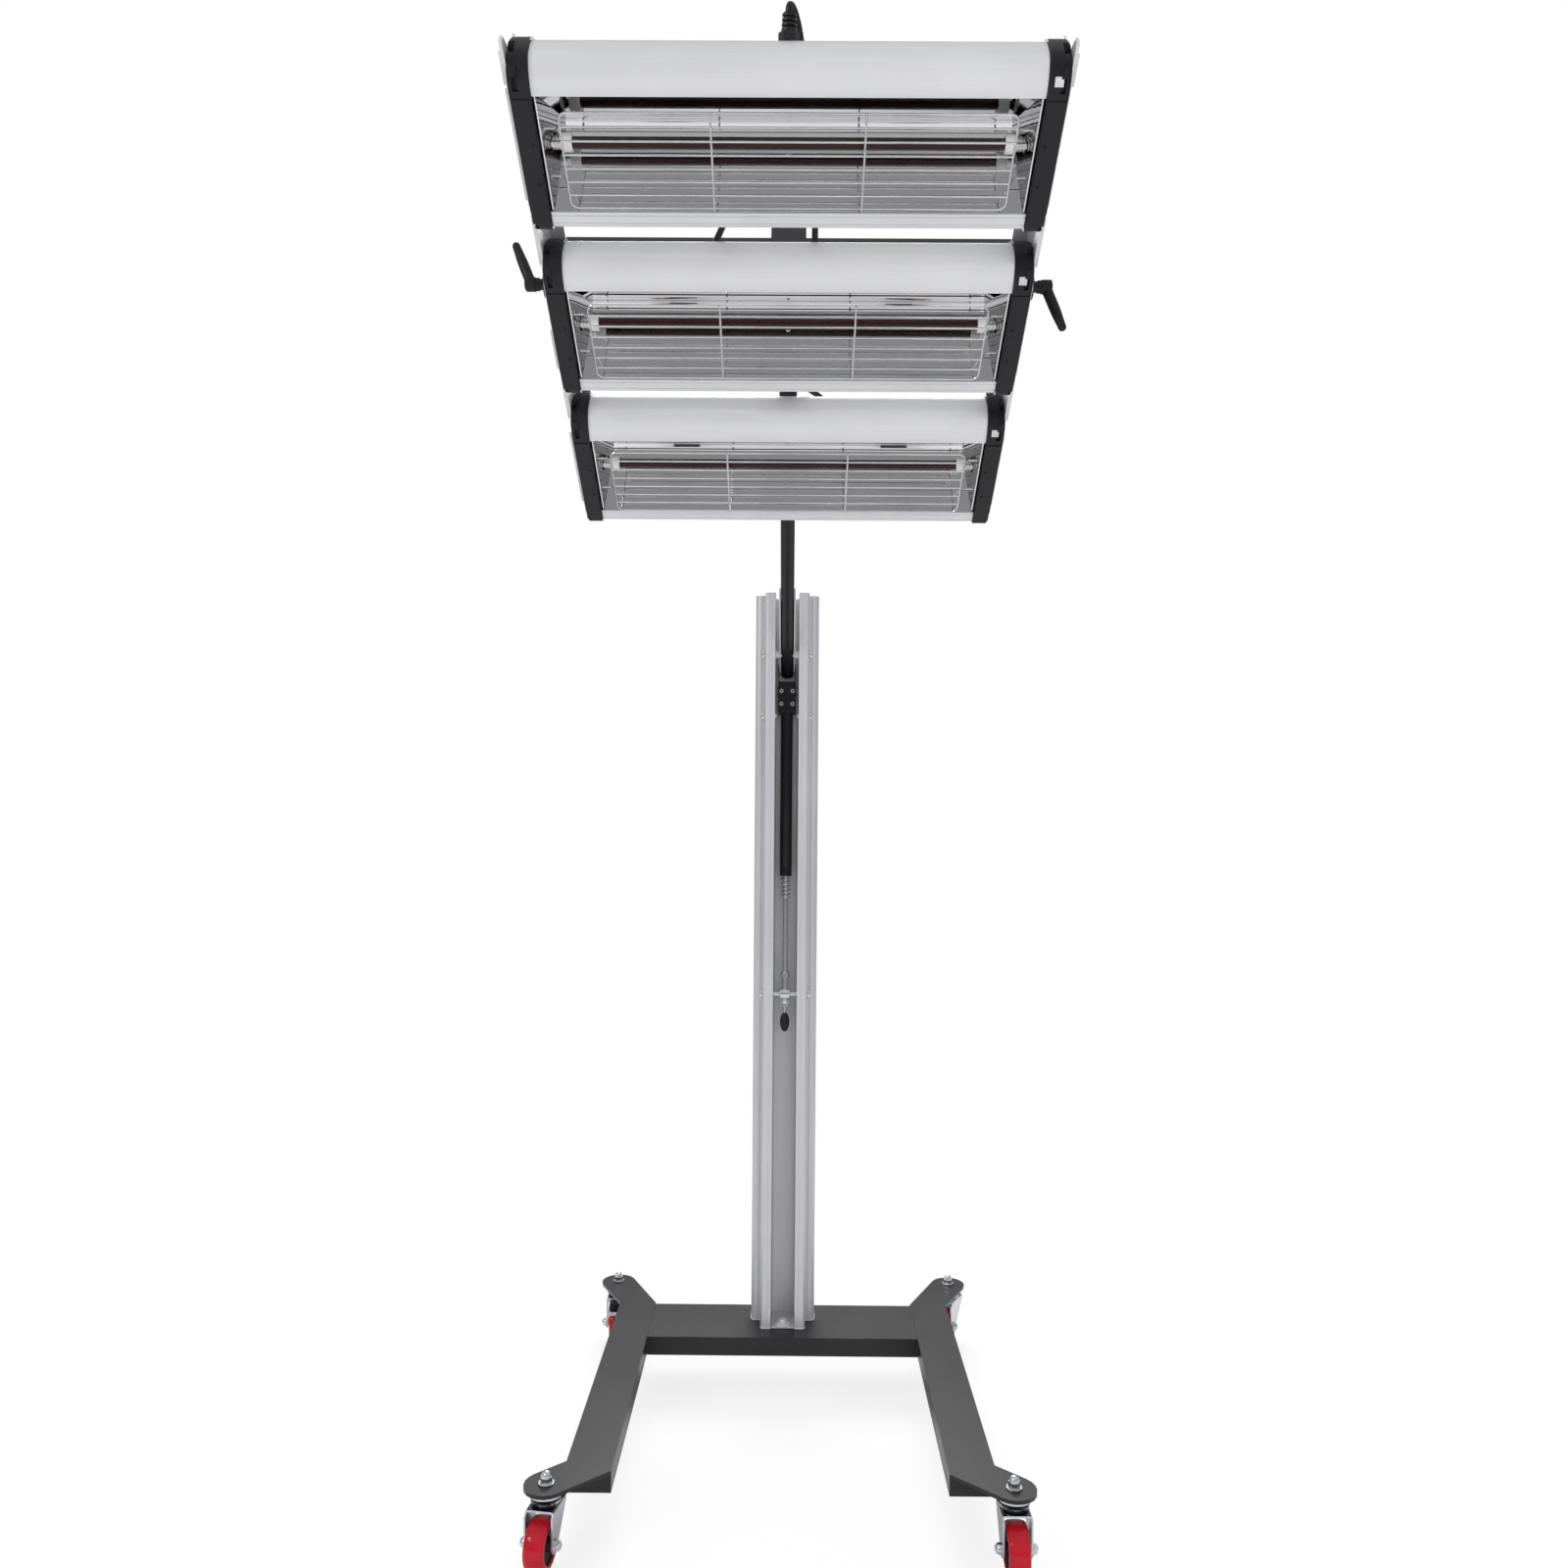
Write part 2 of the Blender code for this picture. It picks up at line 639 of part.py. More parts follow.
def make_pedal(name, material, frame):
    # Stamped pedal that swings about a pin between the fork cheeks
    half = PEDAL_WIDTH / 2
    plate_top = PEDAL_HUB_RADIUS
    plate = block(-half, half, -PEDAL_REACH, 0, plate_top - PEDAL_THICKNESS, plate_top)
    lip = block(-half, half, -PEDAL_REACH, PEDAL_THICKNESS - PEDAL_REACH, plate_top - PEDAL_LIP, plate_top)
    hub = along_x(rod(PEDAL_HUB_RADIUS, -half, half))
    reach = FORK_WIDTH / 2
    pin = along_x(rod(PEDAL_PIN_RADIUS, -reach, reach, ROUND // 2))
    pedal = moved(fused(plate, lip, hub, pin), turn=PEDAL_DROOP)
    return finished(pedal, name, material, frame, smooth=False)


def make_castor(side, end, castor_y, yaw, materials, stand):
    place = f"{end}_{'right' if side > 0 else 'left'}"
    swivel = frame_at(f"{place}_swivel", stand, (side * CASTOR_SPREAD, castor_y, 0), turn_z=-yaw)
    axle = frame_at(f"{place}_axle", swivel, (0, -CASTOR_TRAIL, WHEEL_RADIUS))
    make_stem(f"{place}_castor_stem", materials["zinc"], swivel)
    make_fork(f"{place}_castor_fork", materials["zinc"], swivel, end == "back")
    make_wheel(f"{place}_wheel", materials["wheel_red"], axle)
    if end == "back":
        pivot = frame_at(f"{place}_pedal_pivot", swivel,
                         (0, -PEDAL_PIVOT_FORWARD, FORK_TOP - PEDAL_PIVOT_BELOW))
        make_pedal(f"{place}_brake_pedal", materials["zinc"], pivot)


# Column

def column_half():
    # Right half of the section, from the channel's mouth round to the middle of the back
    rib = FRONT_RIB_WIDTH / 2
    half = COLUMN_WIDTH / 2
    front = arc((rib - FRONT_RIB_CORNER, FRONT_RIB_CORNER - FRONT_RIB_REACH),
                (FRONT_RIB_CORNER, FRONT_RIB_CORNER), -90.0, 0.0, 3)
    groove = [(GROOVE_OFFSET - GROOVE_WIDTH / 2, 0), (GROOVE_OFFSET, GROOVE_DEPTH),
              (GROOVE_OFFSET + GROOVE_WIDTH / 2, 0)]
    corner = (COLUMN_CORNER, COLUMN_CORNER)
    near = arc((half - COLUMN_CORNER, COLUMN_CORNER), corner, -90.0, 0.0, 3)
    far = arc((half - COLUMN_CORNER, COLUMN_BACK - COLUMN_CORNER), corner, 0.0, 90.0, 3)
    return [(CHANNEL_WIDTH / 2, -FRONT_RIB_REACH)] + front + [(rib, 0)] + groove + near + far


def make_column(material, stand):
    floor = COLUMN_BACK - COLUMN_WALL
    half = column_half()
    mirrored_half = [(-x, y) for x, y in half[::-1]]
    channel = [(-CHANNEL_WIDTH / 2, floor), (CHANNEL_WIDTH / 2, floor)]
    bottom = BEAM_TOP + GAP
    top = PIVOT_HEIGHT + COLUMN_ABOVE_PIVOT
    column = flat_prism(half + mirrored_half + channel, bottom, top)
    inner = CHANNEL_WIDTH / 2 + COLUMN_WALL
    cutters = []
    for side in (-1, 1):
        cell = [(inner, COLUMN_WALL - FRONT_RIB_REACH), (FRONT_RIB_WIDTH / 2 - COLUMN_WALL, COLUMN_WALL - FRONT_RIB_REACH),
                (FRONT_RIB_WIDTH / 2 - COLUMN_WALL, COLUMN_WALL), (COLUMN_WIDTH / 2 - COLUMN_WALL, COLUMN_WALL),
                (COLUMN_WIDTH / 2 - COLUMN_WALL, floor), (inner, floor)]
        cutters.append(flat_prism([(side * x, y) for x, y in cell], bottom - OVERRUN, top + OVERRUN))
    reach = COLUMN_WIDTH / 2 + OVERRUN
    for height, radius in ((PIVOT_HEIGHT, PIVOT_PIN_RADIUS), (LOWER_PIN_HEIGHT, LOWER_PIN_RADIUS)):
        cutters.append(moved(along_x(rod(radius + GAP, -reach, reach)), (0, -PIN_OFFSET, height)))
    return finished(cut(column, *cutters), "column", material, stand)


def make_foot(material, stand):
    # Plate in the channel's foot under a hexagon bolt with its washer
    half = CHANNEL_WIDTH / 2 - GAP
    low = BEAM_TOP + GAP
    plate_top = low + FOOT_PLATE_THICKNESS
    plate_back = COLUMN_BACK - COLUMN_WALL - GAP
    plate = block(-half, half, plate_back - FOOT_PLATE_DEPTH, plate_back, low, plate_top)
    washer_top = plate_top + FOOT_WASHER_THICKNESS
    washer = rod(FOOT_WASHER_RADIUS, plate_top - FOOT_PLATE_THICKNESS / 2, washer_top)
    bolt = rod(FOOT_BOLT_RADIUS, plate_top, washer_top + FOOT_BOLT_HEIGHT, 6)
    return finished(fused(plate, washer, bolt), "column_foot", material, stand, smooth=False)


def make_cross_pin(name, radius, height, material, stand):
    # Pin through the channel, with a head on each side of the column's front rib
    inside = FRONT_RIB_WIDTH / 2 + GAP
    reach = inside + PIN_HEAD_LENGTH
    profile = [(0, -reach), (PIN_HEAD_RADIUS, -reach), (PIN_HEAD_RADIUS, -inside), (radius, -inside),
               (radius, inside), (PIN_HEAD_RADIUS, inside), (PIN_HEAD_RADIUS, reach), (0, reach)]
    return finished(moved(along_x(turned(profile)), (0, -PIN_OFFSET, height)), name, material, stand)


# Arm, in a frame whose -Y runs up the arm from the pivot

def cross_hole(radius, reach, y, z=0.0):
    return moved(along_x(rod(radius, -reach, reach)), (0, y, z))


def make_arm_tube(material, arm):
    top = CLAMP_SIDE / 2 + GAP - ARM_REACH
    bore = ARM_TUBE_RADIUS - ARM_TUBE_WALL
    profile = [(ARM_TUBE_RADIUS, top), (ARM_TUBE_RADIUS, ARM_TAIL), (bore, ARM_TAIL), (bore, top)]
    tube = moved(turned_ring(profile, ROUND_FINE), turn=-90.0)
    reach = ARM_TUBE_RADIUS + OVERRUN
    tube = cut(tube, cross_hole(PIVOT_PIN_RADIUS + GAP, reach, 0), cross_hole(STRUT_PIN_RADIUS + GAP, reach, STRUT_PIN_DISTANCE))
    return finished(tube, "arm_tube", material, arm)


def make_saddle(material, arm):
    # Folded steel saddle round the back of the tube, with spacer bosses at the pivot
    inner = ARM_TUBE_RADIUS + GAP
    outer = inner + SADDLE_SHEET
    edge = outer - SADDLE_CHEEK
    tail = ARM_TAIL
    side = [(-SADDLE_LENGTH, outer), (-SADDLE_LENGTH, edge + SADDLE_ROUND), (SADDLE_ROUND - SADDLE_LENGTH, edge)]
    side += arc((tail - SADDLE_ROUND, edge + SADDLE_ROUND), (SADDLE_ROUND, SADDLE_ROUND), -90.0, 0.0, 3) + [(tail, outer)]
    saddle = side_prism(side, -outer, outer)
    channel = block(-inner, inner, -SADDLE_LENGTH - OVERRUN, tail + OVERRUN, edge - OVERRUN, inner)
    saddle = cut(saddle, channel)
    boss_end = CHANNEL_WIDTH / 2 - GAP
    bosses = []
    for hand in (-1, 1):
        low, high = sorted((hand * (outer - SADDLE_SHEET / 2), hand * boss_end))
        bosses.append(along_x(rod(SADDLE_BOSS_RADIUS, low, high)))
    saddle = fused(saddle, *bosses)
    reach = boss_end + OVERRUN
    saddle = cut(saddle, cross_hole(PIVOT_PIN_RADIUS + GAP, reach, 0), cross_hole(STRUT_PIN_RADIUS + GAP, reach, STRUT_PIN_DISTANCE))
    return finished(saddle, "arm_saddle", material, arm, smooth=False)


def make_clamp(material, arm):
    # Block round the crossbar with a long socket that holds the arm tube
    half = CLAMP_SIDE / 2
    lip = CLAMP_EDGE
    side = [(-half, lip - half), (lip - half, -half), (half - lip, -half), (half, lip - half),
            (half, half - lip), (half - lip, half), (lip - half, half), (-half, half - lip)]
    clamp = side_prism(side, -CLAMP_WIDTH / 2, CLAMP_WIDTH / 2)
    sleeve = moved(rod(SLEEVE_RADIUS, half - lip, half + SLEEVE_LENGTH, ROUND_FINE), turn=-90.0)
    clamp = fused(clamp, sleeve)
    window = CROSSBAR_SIDE / 2 + GAP
    passage = block(-CLAMP_WIDTH, CLAMP_WIDTH, -window, window, -window, window)
    socket = moved(rod(ARM_TUBE_RADIUS + GAP, half, half + SLEEVE_LENGTH + OVERRUN, ROUND_FINE), turn=-90.0)
    clamp = moved(cut(clamp, passage, socket), (0, -ARM_REACH, 0))
    return finished(clamp, "arm_clamp", material, arm)


def yoke_inside():
    return LAMP_LENGTH / 2 + GAP + CAP_THICKNESS + GAP + RAIL_SHEET + GAP


def make_crossbar(material, arm):
    half = yoke_inside() - GAP
    side = CROSSBAR_SIDE / 2
    inside = side - CROSSBAR_WALL
    bar = block(-half, half, -side, side, -side, side)
    hollow = block(-half - OVERRUN, half + OVERRUN, -inside, inside, -inside, inside)
    return finished(moved(cut(bar, hollow), (0, -ARM_REACH, 0)), "crossbar", material, arm, smooth=False)


def make_yoke_arm(side, name, material, arm):
    # Flat arm from the crossbar's end forward to the head's tilt axis
    half = YOKE_ARM_WIDTH / 2
    bar = Vector((-ARM_REACH, 0))
    tilt = Vector((-TILT_ALONG_ARM, -TILT_BELOW_ARM))
    lean = math.degrees(math.atan2(bar.y - tilt.y, bar.x - tilt.x))
    outline = arc(tilt, (half, half), lean + 90.0, lean + 270.0, 2 * ARC_STEPS)
    outline += arc(bar, (half, half), lean - 90.0, lean + 90.0, 2 * ARC_STEPS)
    near = yoke_inside()
    low, high = sorted((side * near, side * (near + YOKE_ARM_SHEET)))
    plate = side_prism(outline, low, high)
    hole = cross_hole(STUD_RADIUS + GAP, near + 2 * OVERRUN, tilt.x, tilt.y)
    return finished(cut(plate, hole), name, material, arm, smooth=False)


# Strut, in a frame at its top pin whose -Z runs down the strut

def make_strut_fork(material, strut):
    inner = ARM_TUBE_RADIUS + SADDLE_SHEET + 2 * GAP
    outer = inner + STRUT_CHEEK
    half = STRUT_BLOCK_DEPTH / 2
    bottom = -STRUT_BLOCK_TOP - STRUT_BLOCK_LENGTH
    side = arc((0, 0), (STRUT_EAR_RADIUS, STRUT_EAR_RADIUS), 0.0, 180.0, ARC_STEPS)
    side += [(-half, -STRUT_BLOCK_TOP), (-half, bottom), (half, bottom), (half, -STRUT_BLOCK_TOP)]
    fork = side_prism(side, -outer, outer)
    slot = block(-inner, inner, -half - OVERRUN, half + OVERRUN, -STRUT_BLOCK_TOP, STRUT_EAR_RADIUS + OVERRUN)
    fork = cut(fork, slot)
    pin = along_x(rod(STRUT_PIN_RADIUS, -outer, outer))
    screws = []
    for column in (-1, 1):
        for row in (0, 1):
            screw = moved(rod(STRUT_SCREW_RADIUS, 0, half + STRUT_SCREW_HEAD), turn=90.0)
            height = bottom + (STRUT_BLOCK_LENGTH - STRUT_SCREW_PITCH) / 2 + row * STRUT_SCREW_PITCH
            screws.append(moved(screw, (column * STRUT_SCREW_SPREAD, 0, height)))
    return finished(fused(fork, pin, joined(screws)), "strut_fork", material, strut)


def strut_tube_span():
    top = -STRUT_BLOCK_TOP - STRUT_BLOCK_LENGTH - GAP
    return top, top - STRUT_TUBE_LENGTH


def make_strut_tube(material, strut):
    top, bottom = strut_tube_span()
    bore = STRUT_TUBE_RADIUS - STRUT_TUBE_WALL
    profile = [(STRUT_TUBE_RADIUS, bottom), (STRUT_TUBE_RADIUS, top), (bore, top), (bore, bottom)]
    return finished(turned_ring(profile, ROUND_FINE), "strut_tube", material, strut)


def make_spring(material, strut):
    # Bump spring under the tube: open coils, one unbroken wire
    top = strut_tube_span()[1] - GAP - SPRING_WIRE_RADIUS
    steps = 10
    points = []
    for step in range(SPRING_TURNS * steps + 1):
        turn = math.tau * step / steps
        drop = SPRING_PITCH * step / steps
        points.append((SPRING_RADIUS * math.cos(turn), SPRING_RADIUS * math.sin(turn), top - drop))
    least = SPRING_PITCH - 2 * SPRING_WIRE_RADIUS
    print(f"bump spring least gap between coils {least * 1000:.2f} mm")
    return finished(swept(points, SPRING_WIRE_RADIUS), "bump_spring", material, strut)


# Strut rod, in a frame at the lower pin whose +Z runs up the rod

def make_strut_rod(length, material, rod_frame):
    half = STRUT_EYE_WIDTH / 2
    tube_bottom = length + strut_tube_span()[1]
    collar_end = STRUT_COLLAR_START + STRUT_COLLAR_LENGTH
    shaft = turned([(0, 0), (STRUT_ROD_RADIUS, 0), (STRUT_ROD_RADIUS, STRUT_COLLAR_START),
                    (STRUT_COLLAR_RADIUS, STRUT_COLLAR_START), (STRUT_COLLAR_RADIUS, collar_end),
                    (STRUT_ROD_RADIUS, collar_end), (STRUT_ROD_RADIUS, tube_bottom + STRUT_ROD_OVERLAP),
                    (0, tube_bottom + STRUT_ROD_OVERLAP)])
    eye = along_x(rod(STRUT_EYE_RADIUS, -half, half))
    lug = block(-LUG_WIDTH / 2, LUG_WIDTH / 2, -LUG_RADIUS, LUG_RADIUS, -LUG_DROP, 0)
    lug_round = moved(along_x(rod(LUG_RADIUS, -LUG_WIDTH / 2, LUG_WIDTH / 2)), (0, 0, -LUG_DROP))
    body = fused(shaft, eye, lug, lug_round)
    pin_hole = cross_hole(LOWER_PIN_RADIUS + GAP, half + OVERRUN, 0)
    rivet_hole = cross_hole(LEVER_RIVET_RADIUS + GAP, half, 0, -LUG_DROP)
    return finished(cut(body, pin_hole, rivet_hole), "strut_rod", material, rod_frame)


def make_release_lever(material, lever):
    # Small clevis on the rod's lug, a wire and a moulded oval grip
    inner = LUG_WIDTH / 2 + GAP
    outer = inner + LEVER_EAR_SHEET
    bridge = -LUG_RADIUS - GAP
    side = arc((0, 0), (LUG_RADIUS, LUG_RADIUS), 0.0, 180.0, ARC_STEPS)
    side += [(-LUG_RADIUS, bridge - LEVER_EAR_SHEET), (LUG_RADIUS, bridge - LEVER_EAR_SHEET)]
    ears = side_prism(side, -outer, outer)
    slot = block(-inner, inner, -LUG_RADIUS - OVERRUN, LUG_RADIUS + OVERRUN, bridge, LUG_RADIUS + OVERRUN)
    ears = cut(ears, slot)
    rivet = along_x(rod(LEVER_RIVET_RADIUS, -outer, outer))
    grip_top = -GRIP_DROP
    wire = rod(LEVER_WIRE_RADIUS, grip_top - GRIP_LENGTH / 2, bridge - LEVER_EAR_SHEET / 2)
    middle = grip_top - GRIP_LENGTH / 2
    grip = turned([(0, grip_top)] + arc((0, middle), (GRIP_RADIUS, GRIP_LENGTH / 2), 65.0, -65.0, 6)
                  + [(0, grip_top - GRIP_LENGTH)])
    return finished(fused(ears, rivet, wire, grip), "release_lever", material, lever)


# Lamp, in the head's frame: X along the lamp, Y down the row, Z away from the lamp's face

def lamp_outline(inset):
    # From the upper rim's edge round the back to the lower lip's edge, drawn in by the inset
    upper = arc((0, RIM_DEPTH), (TOP_REACH - inset, RIM_DEPTH - inset), -90.0, -180.0, ARC_STEPS)
    shoulder = arc((BACK_START, SHOULDER_DEPTH), (BACK_START + TOP_REACH - inset, LAMP_DEPTH - SHOULDER_DEPTH - inset),
                   180.0, 90.0, ARC_STEPS)
    lower = arc((BACK_END, LOW_SHOULDER_DEPTH), (LOW_REACH - BACK_END - inset, LAMP_DEPTH - LOW_SHOULDER_DEPTH - inset),
                90.0, 0.0, ARC_STEPS)
    corner = max(LIP_CORNER - inset, GAP)
    lip = arc((LOW_REACH - LIP_CORNER, LIP_CORNER), (corner, corner), 0.0, -90.0, 2)
    return upper + shoulder + lower + lip + [(OPENING, inset)]


def back_ribs():
    # Shallow cooling grooves between the ribs of the extrusion's back
    grooves = []
    span = (BACK_END - BACK_START) / BACK_RIB_COUNT
    for place in range(BACK_RIB_COUNT):
        start = BACK_START + place * span + BACK_RIB_WIDTH / 2
        grooves.append((start, start + span - BACK_RIB_WIDTH))
    return grooves


def lamp_frame(head, row):
    name = ("top_lamp", "middle_lamp", "bottom_lamp")[row + 1]
    place = row * LAMP_PITCH - TILT_BACK_OF_EDGE
    return name, frame_at(f"{name}_frame", head, (0, place, -TILT_BEHIND_FACE))


def make_housing(name, boss_places, material, lamp):
    half = LAMP_LENGTH / 2
    outer = lamp_outline(0)
    place = next(i for i, point in enumerate(outer) if point[0] >= BACK_START)
    ribbed = outer[:place + 1]
    for start, end in back_ribs():
        ribbed += [(start, LAMP_DEPTH), (start, LAMP_DEPTH - BACK_RIB_HEIGHT / 2),
                   (end, LAMP_DEPTH - BACK_RIB_HEIGHT / 2), (end, LAMP_DEPTH)]
    ribbed += outer[place + 1:]
    shell = side_prism(ribbed + lamp_outline(SHELL)[::-1], -half, half)
    base = LAMP_DEPTH - SHELL / 2
    bosses = [moved(rod(LEAD_BOSS_RADIUS, base, LAMP_DEPTH + LEAD_BOSS_HEIGHT), (x, y, 0)) for x, y in boss_places]
    return finished(fused(shell, *bosses), f"{name}_housing", material, lamp)


def vent_cutters(outward):
    # Notches round the cap's upper outer edge, the one nearest the opening longer than the rest
    cutters = []
    reach = TOP_REACH + CAP_PROUD
    depth = RIM_DEPTH + CAP_PROUD
    face = LAMP_LENGTH / 2 + GAP + CAP_THICKNESS
    places = [(LONG_VENT_ANGLE, LONG_VENT_LENGTH)]
    places += [(VENT_START - place * VENT_STEP, VENT_LENGTH) for place in range(VENT_COUNT)]
    for degrees, length in places:
        angle = math.radians(degrees)
        low, high = sorted((outward * (face - VENT_REACH), outward * (face + OVERRUN)))
        notch = block(low, high, -VENT_DEPTH, VENT_DEPTH, -length / 2, length / 2)
        lean = math.atan2(math.sin(angle) * reach, math.cos(angle) * depth)
        place = (0, reach * math.cos(angle), RIM_DEPTH + depth * math.sin(angle))
        cutters.append(moved(notch, place, turn=math.degrees(lean)))
    return cutters


def make_cap(name, outward, bored, material, lamp):
    # Moulded end cap: the lamp's outline, a little proud, rounded over towards the outside
    start = LAMP_LENGTH / 2 + GAP
    steps = 3
    sections = []
    for place, inset in [(start, -CAP_PROUD)] + [
            (start + CAP_THICKNESS - CAP_ROUND * (1 - math.sin(a)), CAP_ROUND * (1 - math.cos(a)) - CAP_PROUD)
            for a in (math.pi / 2 * step / steps for step in range(steps + 1))]:
        sections.append([(outward * place, y, z) for y, z in lamp_outline(inset)])
    cap = cut(lofted(sections), *vent_cutters(outward))
    if bored:
        face = start + CAP_THICKNESS
        low, high = sorted((outward * (face - LEVER_BORE_DEPTH), outward * (face + OVERRUN)))
        bore = moved(along_x(rod(STUD_RADIUS + GAP, low, high)), (0, TILT_BACK_OF_EDGE, TILT_BEHIND_FACE))
        cap = cut(cap, bore)
    hand = "right" if outward > 0 else "left"
    return finished(cap, f"{name}_{hand}_cap", material, lamp)


def trough(sheet, front, end):
    # Solid block under a folded sheet: two flat walls, a narrow back and ends that flare towards the opening
    middle = OPENING / 2
    back = REFLECTOR_BACK / 2
    depth = REFLECTOR_DEPTH + sheet
    slope = (middle + REFLECTOR_OVERLAP - back) / (REFLECTOR_DEPTH - REFLECTOR_RIM)
    wall = Vector((slope, -1)).normalized() * REFLECTOR_BEND
    fold = Vector((back, depth))
    first, last = fold + wall, fold - Vector((REFLECTOR_BEND, 0))
    half = [Vector((back + slope * (depth - front), front))]
    half += [first * (1 - share) ** 2 + fold * 2 * share * (1 - share) + last * share ** 2 for share in BEND_SHARES]
    points = [(middle - x, z) for x, z in half] + [(middle + x, z) for x, z in half[::-1]]
    flare = REFLECTOR_FLARE / REFLECTOR_DEPTH
    return lofted([[(side * (end + sheet - flare * z), y, z) for y, z in points] for side in (-1, 1)])


def make_reflector(name, material, lamp):
    end = REFLECTOR_END - REFLECTOR_SHEET
    tray = trough(REFLECTOR_SHEET, REFLECTOR_RIM, end)
    inside = trough(0, REFLECTOR_RIM - OVERRUN, end)
    tray = cut(tray, inside)
    reach = REFLECTOR_END + OVERRUN
    passage = cross_hole(CERAMIC_RADIUS + GAP, reach, OPENING / 2, HEATER_DEPTH)
    return finished(cut(tray, passage), f"{name}_reflector", material, lamp)


def make_heater(name, material, lamp):
    # Quartz tube with a ceramic holder on each end
    half = CERAMIC_END - CERAMIC_LENGTH
    profile = [(0, -CERAMIC_END), (CERAMIC_RADIUS, -CERAMIC_END), (CERAMIC_RADIUS, -half), (HEATER_RADIUS, -half),
               (HEATER_RADIUS, half), (CERAMIC_RADIUS, half), (CERAMIC_RADIUS, CERAMIC_END), (0, CERAMIC_END)]
    heater = moved(along_x(turned(profile)), (0, OPENING / 2, HEATER_DEPTH))
    return finished(heater, f"{name}_heater", material, lamp)


def guard_shape():
    # Welded wire guard in front of the opening, on legs that bend back to the reflector's ends
    low, high = GUARD_EDGE, OPENING - GUARD_EDGE
    half = GUARD_HALF_LENGTH
    corner = GUARD_CORNER
    hoop = []
    for x, y, start in ((half - corner, high - corner, 0.0), (corner - half, high - corner, 90.0),
                        (corner - half, low + corner, 180.0), (half - corner, low + corner, 270.0)):
        hoop += [(*point, -GUARD_PROUD) for point in arc((x, y), (corner, corner), start, start + 90.0, 3)]
    guard = swept(hoop, GUARD_WIRE_RADIUS, closed=True)
    pitch = (high - low) / (GUARD_LONG_WIRES + 1)
    longs = []
    for place in range(GUARD_LONG_WIRES):
        y = low + pitch * (place + 1)
        longs.append(swept([(-half, y, -GUARD_PROUD), (half, y, -GUARD_PROUD)], GUARD_WIRE_RADIUS))
    front = GUARD_WELD - GUARD_PROUD - 2 * GUARD_WIRE_RADIUS
    crosses = [swept([(x, low - GUARD_WIRE_RADIUS, front), (x, high + GUARD_WIRE_RADIUS, front)], GUARD_WIRE_RADIUS)
               for x in (-GUARD_CROSS_PLACE, GUARD_CROSS_PLACE)]
    flare = REFLECTOR_FLARE / REFLECTOR_DEPTH
    tip = REFLECTOR_END - REFLECTOR_SHEET - flare * (GUARD_LEG_DEPTH + GUARD_WIRE_RADIUS) - GAP
    legs = []
    for side in (-1, 1):
        for share in GUARD_LEG_SHARES:
            y = low + (high - low) * share
            legs.append(swept([(side * (half - GUARD_WELD), y, -GUARD_PROUD),
                               (side * (half + GUARD_LEG_RUN), y, GUARD_LEG_DEPTH),
                               (side * tip, y, GUARD_LEG_DEPTH)], GUARD_WIRE_RADIUS))
    return fused(guard, joined(longs), joined(crosses), joined(legs))


def make_guard(name, mesh, material, lamp):
    guard = bpy.data.objects.new("shape", mesh)
    bpy.context.scene.collection.objects.link(guard)
    return finished(guard, f"{name}_guard", material, lamp)


def make_lamp(row, guard_mesh, materials, head):
    name, lamp = lamp_frame(head, row)
    bosses = {
        -1: [LEFT_LEAD_START],
        0: [below(TOP_LEAD_END), below(LEFT_LEAD_END), LOWER_LEAD_START],
        1: [below(LOWER_LEAD_END)],
    }[row]
    make_housing(name, bosses, materials["lamp_aluminium"], lamp)
    make_reflector(name, materials["mirror"], lamp)
    make_heater(name, materials["heater_glass"], lamp)
    make_guard(name, guard_mesh, materials["chrome"], lamp)
    for outward in (-1, 1):
        make_cap(name, outward, row == 0, materials["black_plastic"], lamp)
    return lamp


# Head rails, levers, gland and leads

def rail_outline():
    # Web of a side rail: a straight back, and a lobe beside each lamp between set-back necks
    top = -LAMP_PITCH - RAIL_TOP
    bottom = LAMP_PITCH + RAIL_BOTTOM
    front = [(top, RAIL_BACK - RAIL_CHAMFER)]
    for row in (-1, 0, 1):
        start = row * LAMP_PITCH + RAIL_LOBE_START
        end = row * LAMP_PITCH + RAIL_LOBE_END
        front += [(start - RAIL_CHAMFER, RAIL_NECK), (start, RAIL_LOBE), (end, RAIL_LOBE)]
        if row < 1:
            front.append((end + RAIL_CHAMFER, RAIL_NECK))
    return front + [(bottom, RAIL_LOBE + RAIL_CHAMFER), (bottom, RAIL_BACK), (top, RAIL_BACK)]


def make_rail(side, name, material, head):
    near = LAMP_LENGTH / 2 + GAP + CAP_THICKNESS + GAP
    web_low, web_high = sorted((side * near, side * (near + RAIL_SHEET)))
    web = side_prism(rail_outline(), web_low, web_high)
    low, high = sorted((side * (near - RAIL_FLANGE), side * (near + RAIL_SHEET / 2)))
    flange = block(low, high, -LAMP_PITCH - RAIL_TOP, LAMP_PITCH + RAIL_BOTTOM, RAIL_BACK - RAIL_SHEET, RAIL_BACK)
    rail = fused(web, flange)
    hole = cross_hole(STUD_RADIUS + GAP, near + 2 * OVERRUN, TILT_BACK_OF_EDGE, TILT_BEHIND_FACE)
    rail = moved(cut(rail, hole), (0, -TILT_BACK_OF_EDGE, -TILT_BEHIND_FACE))
    return finished(rail, name, material, head, smooth=False)


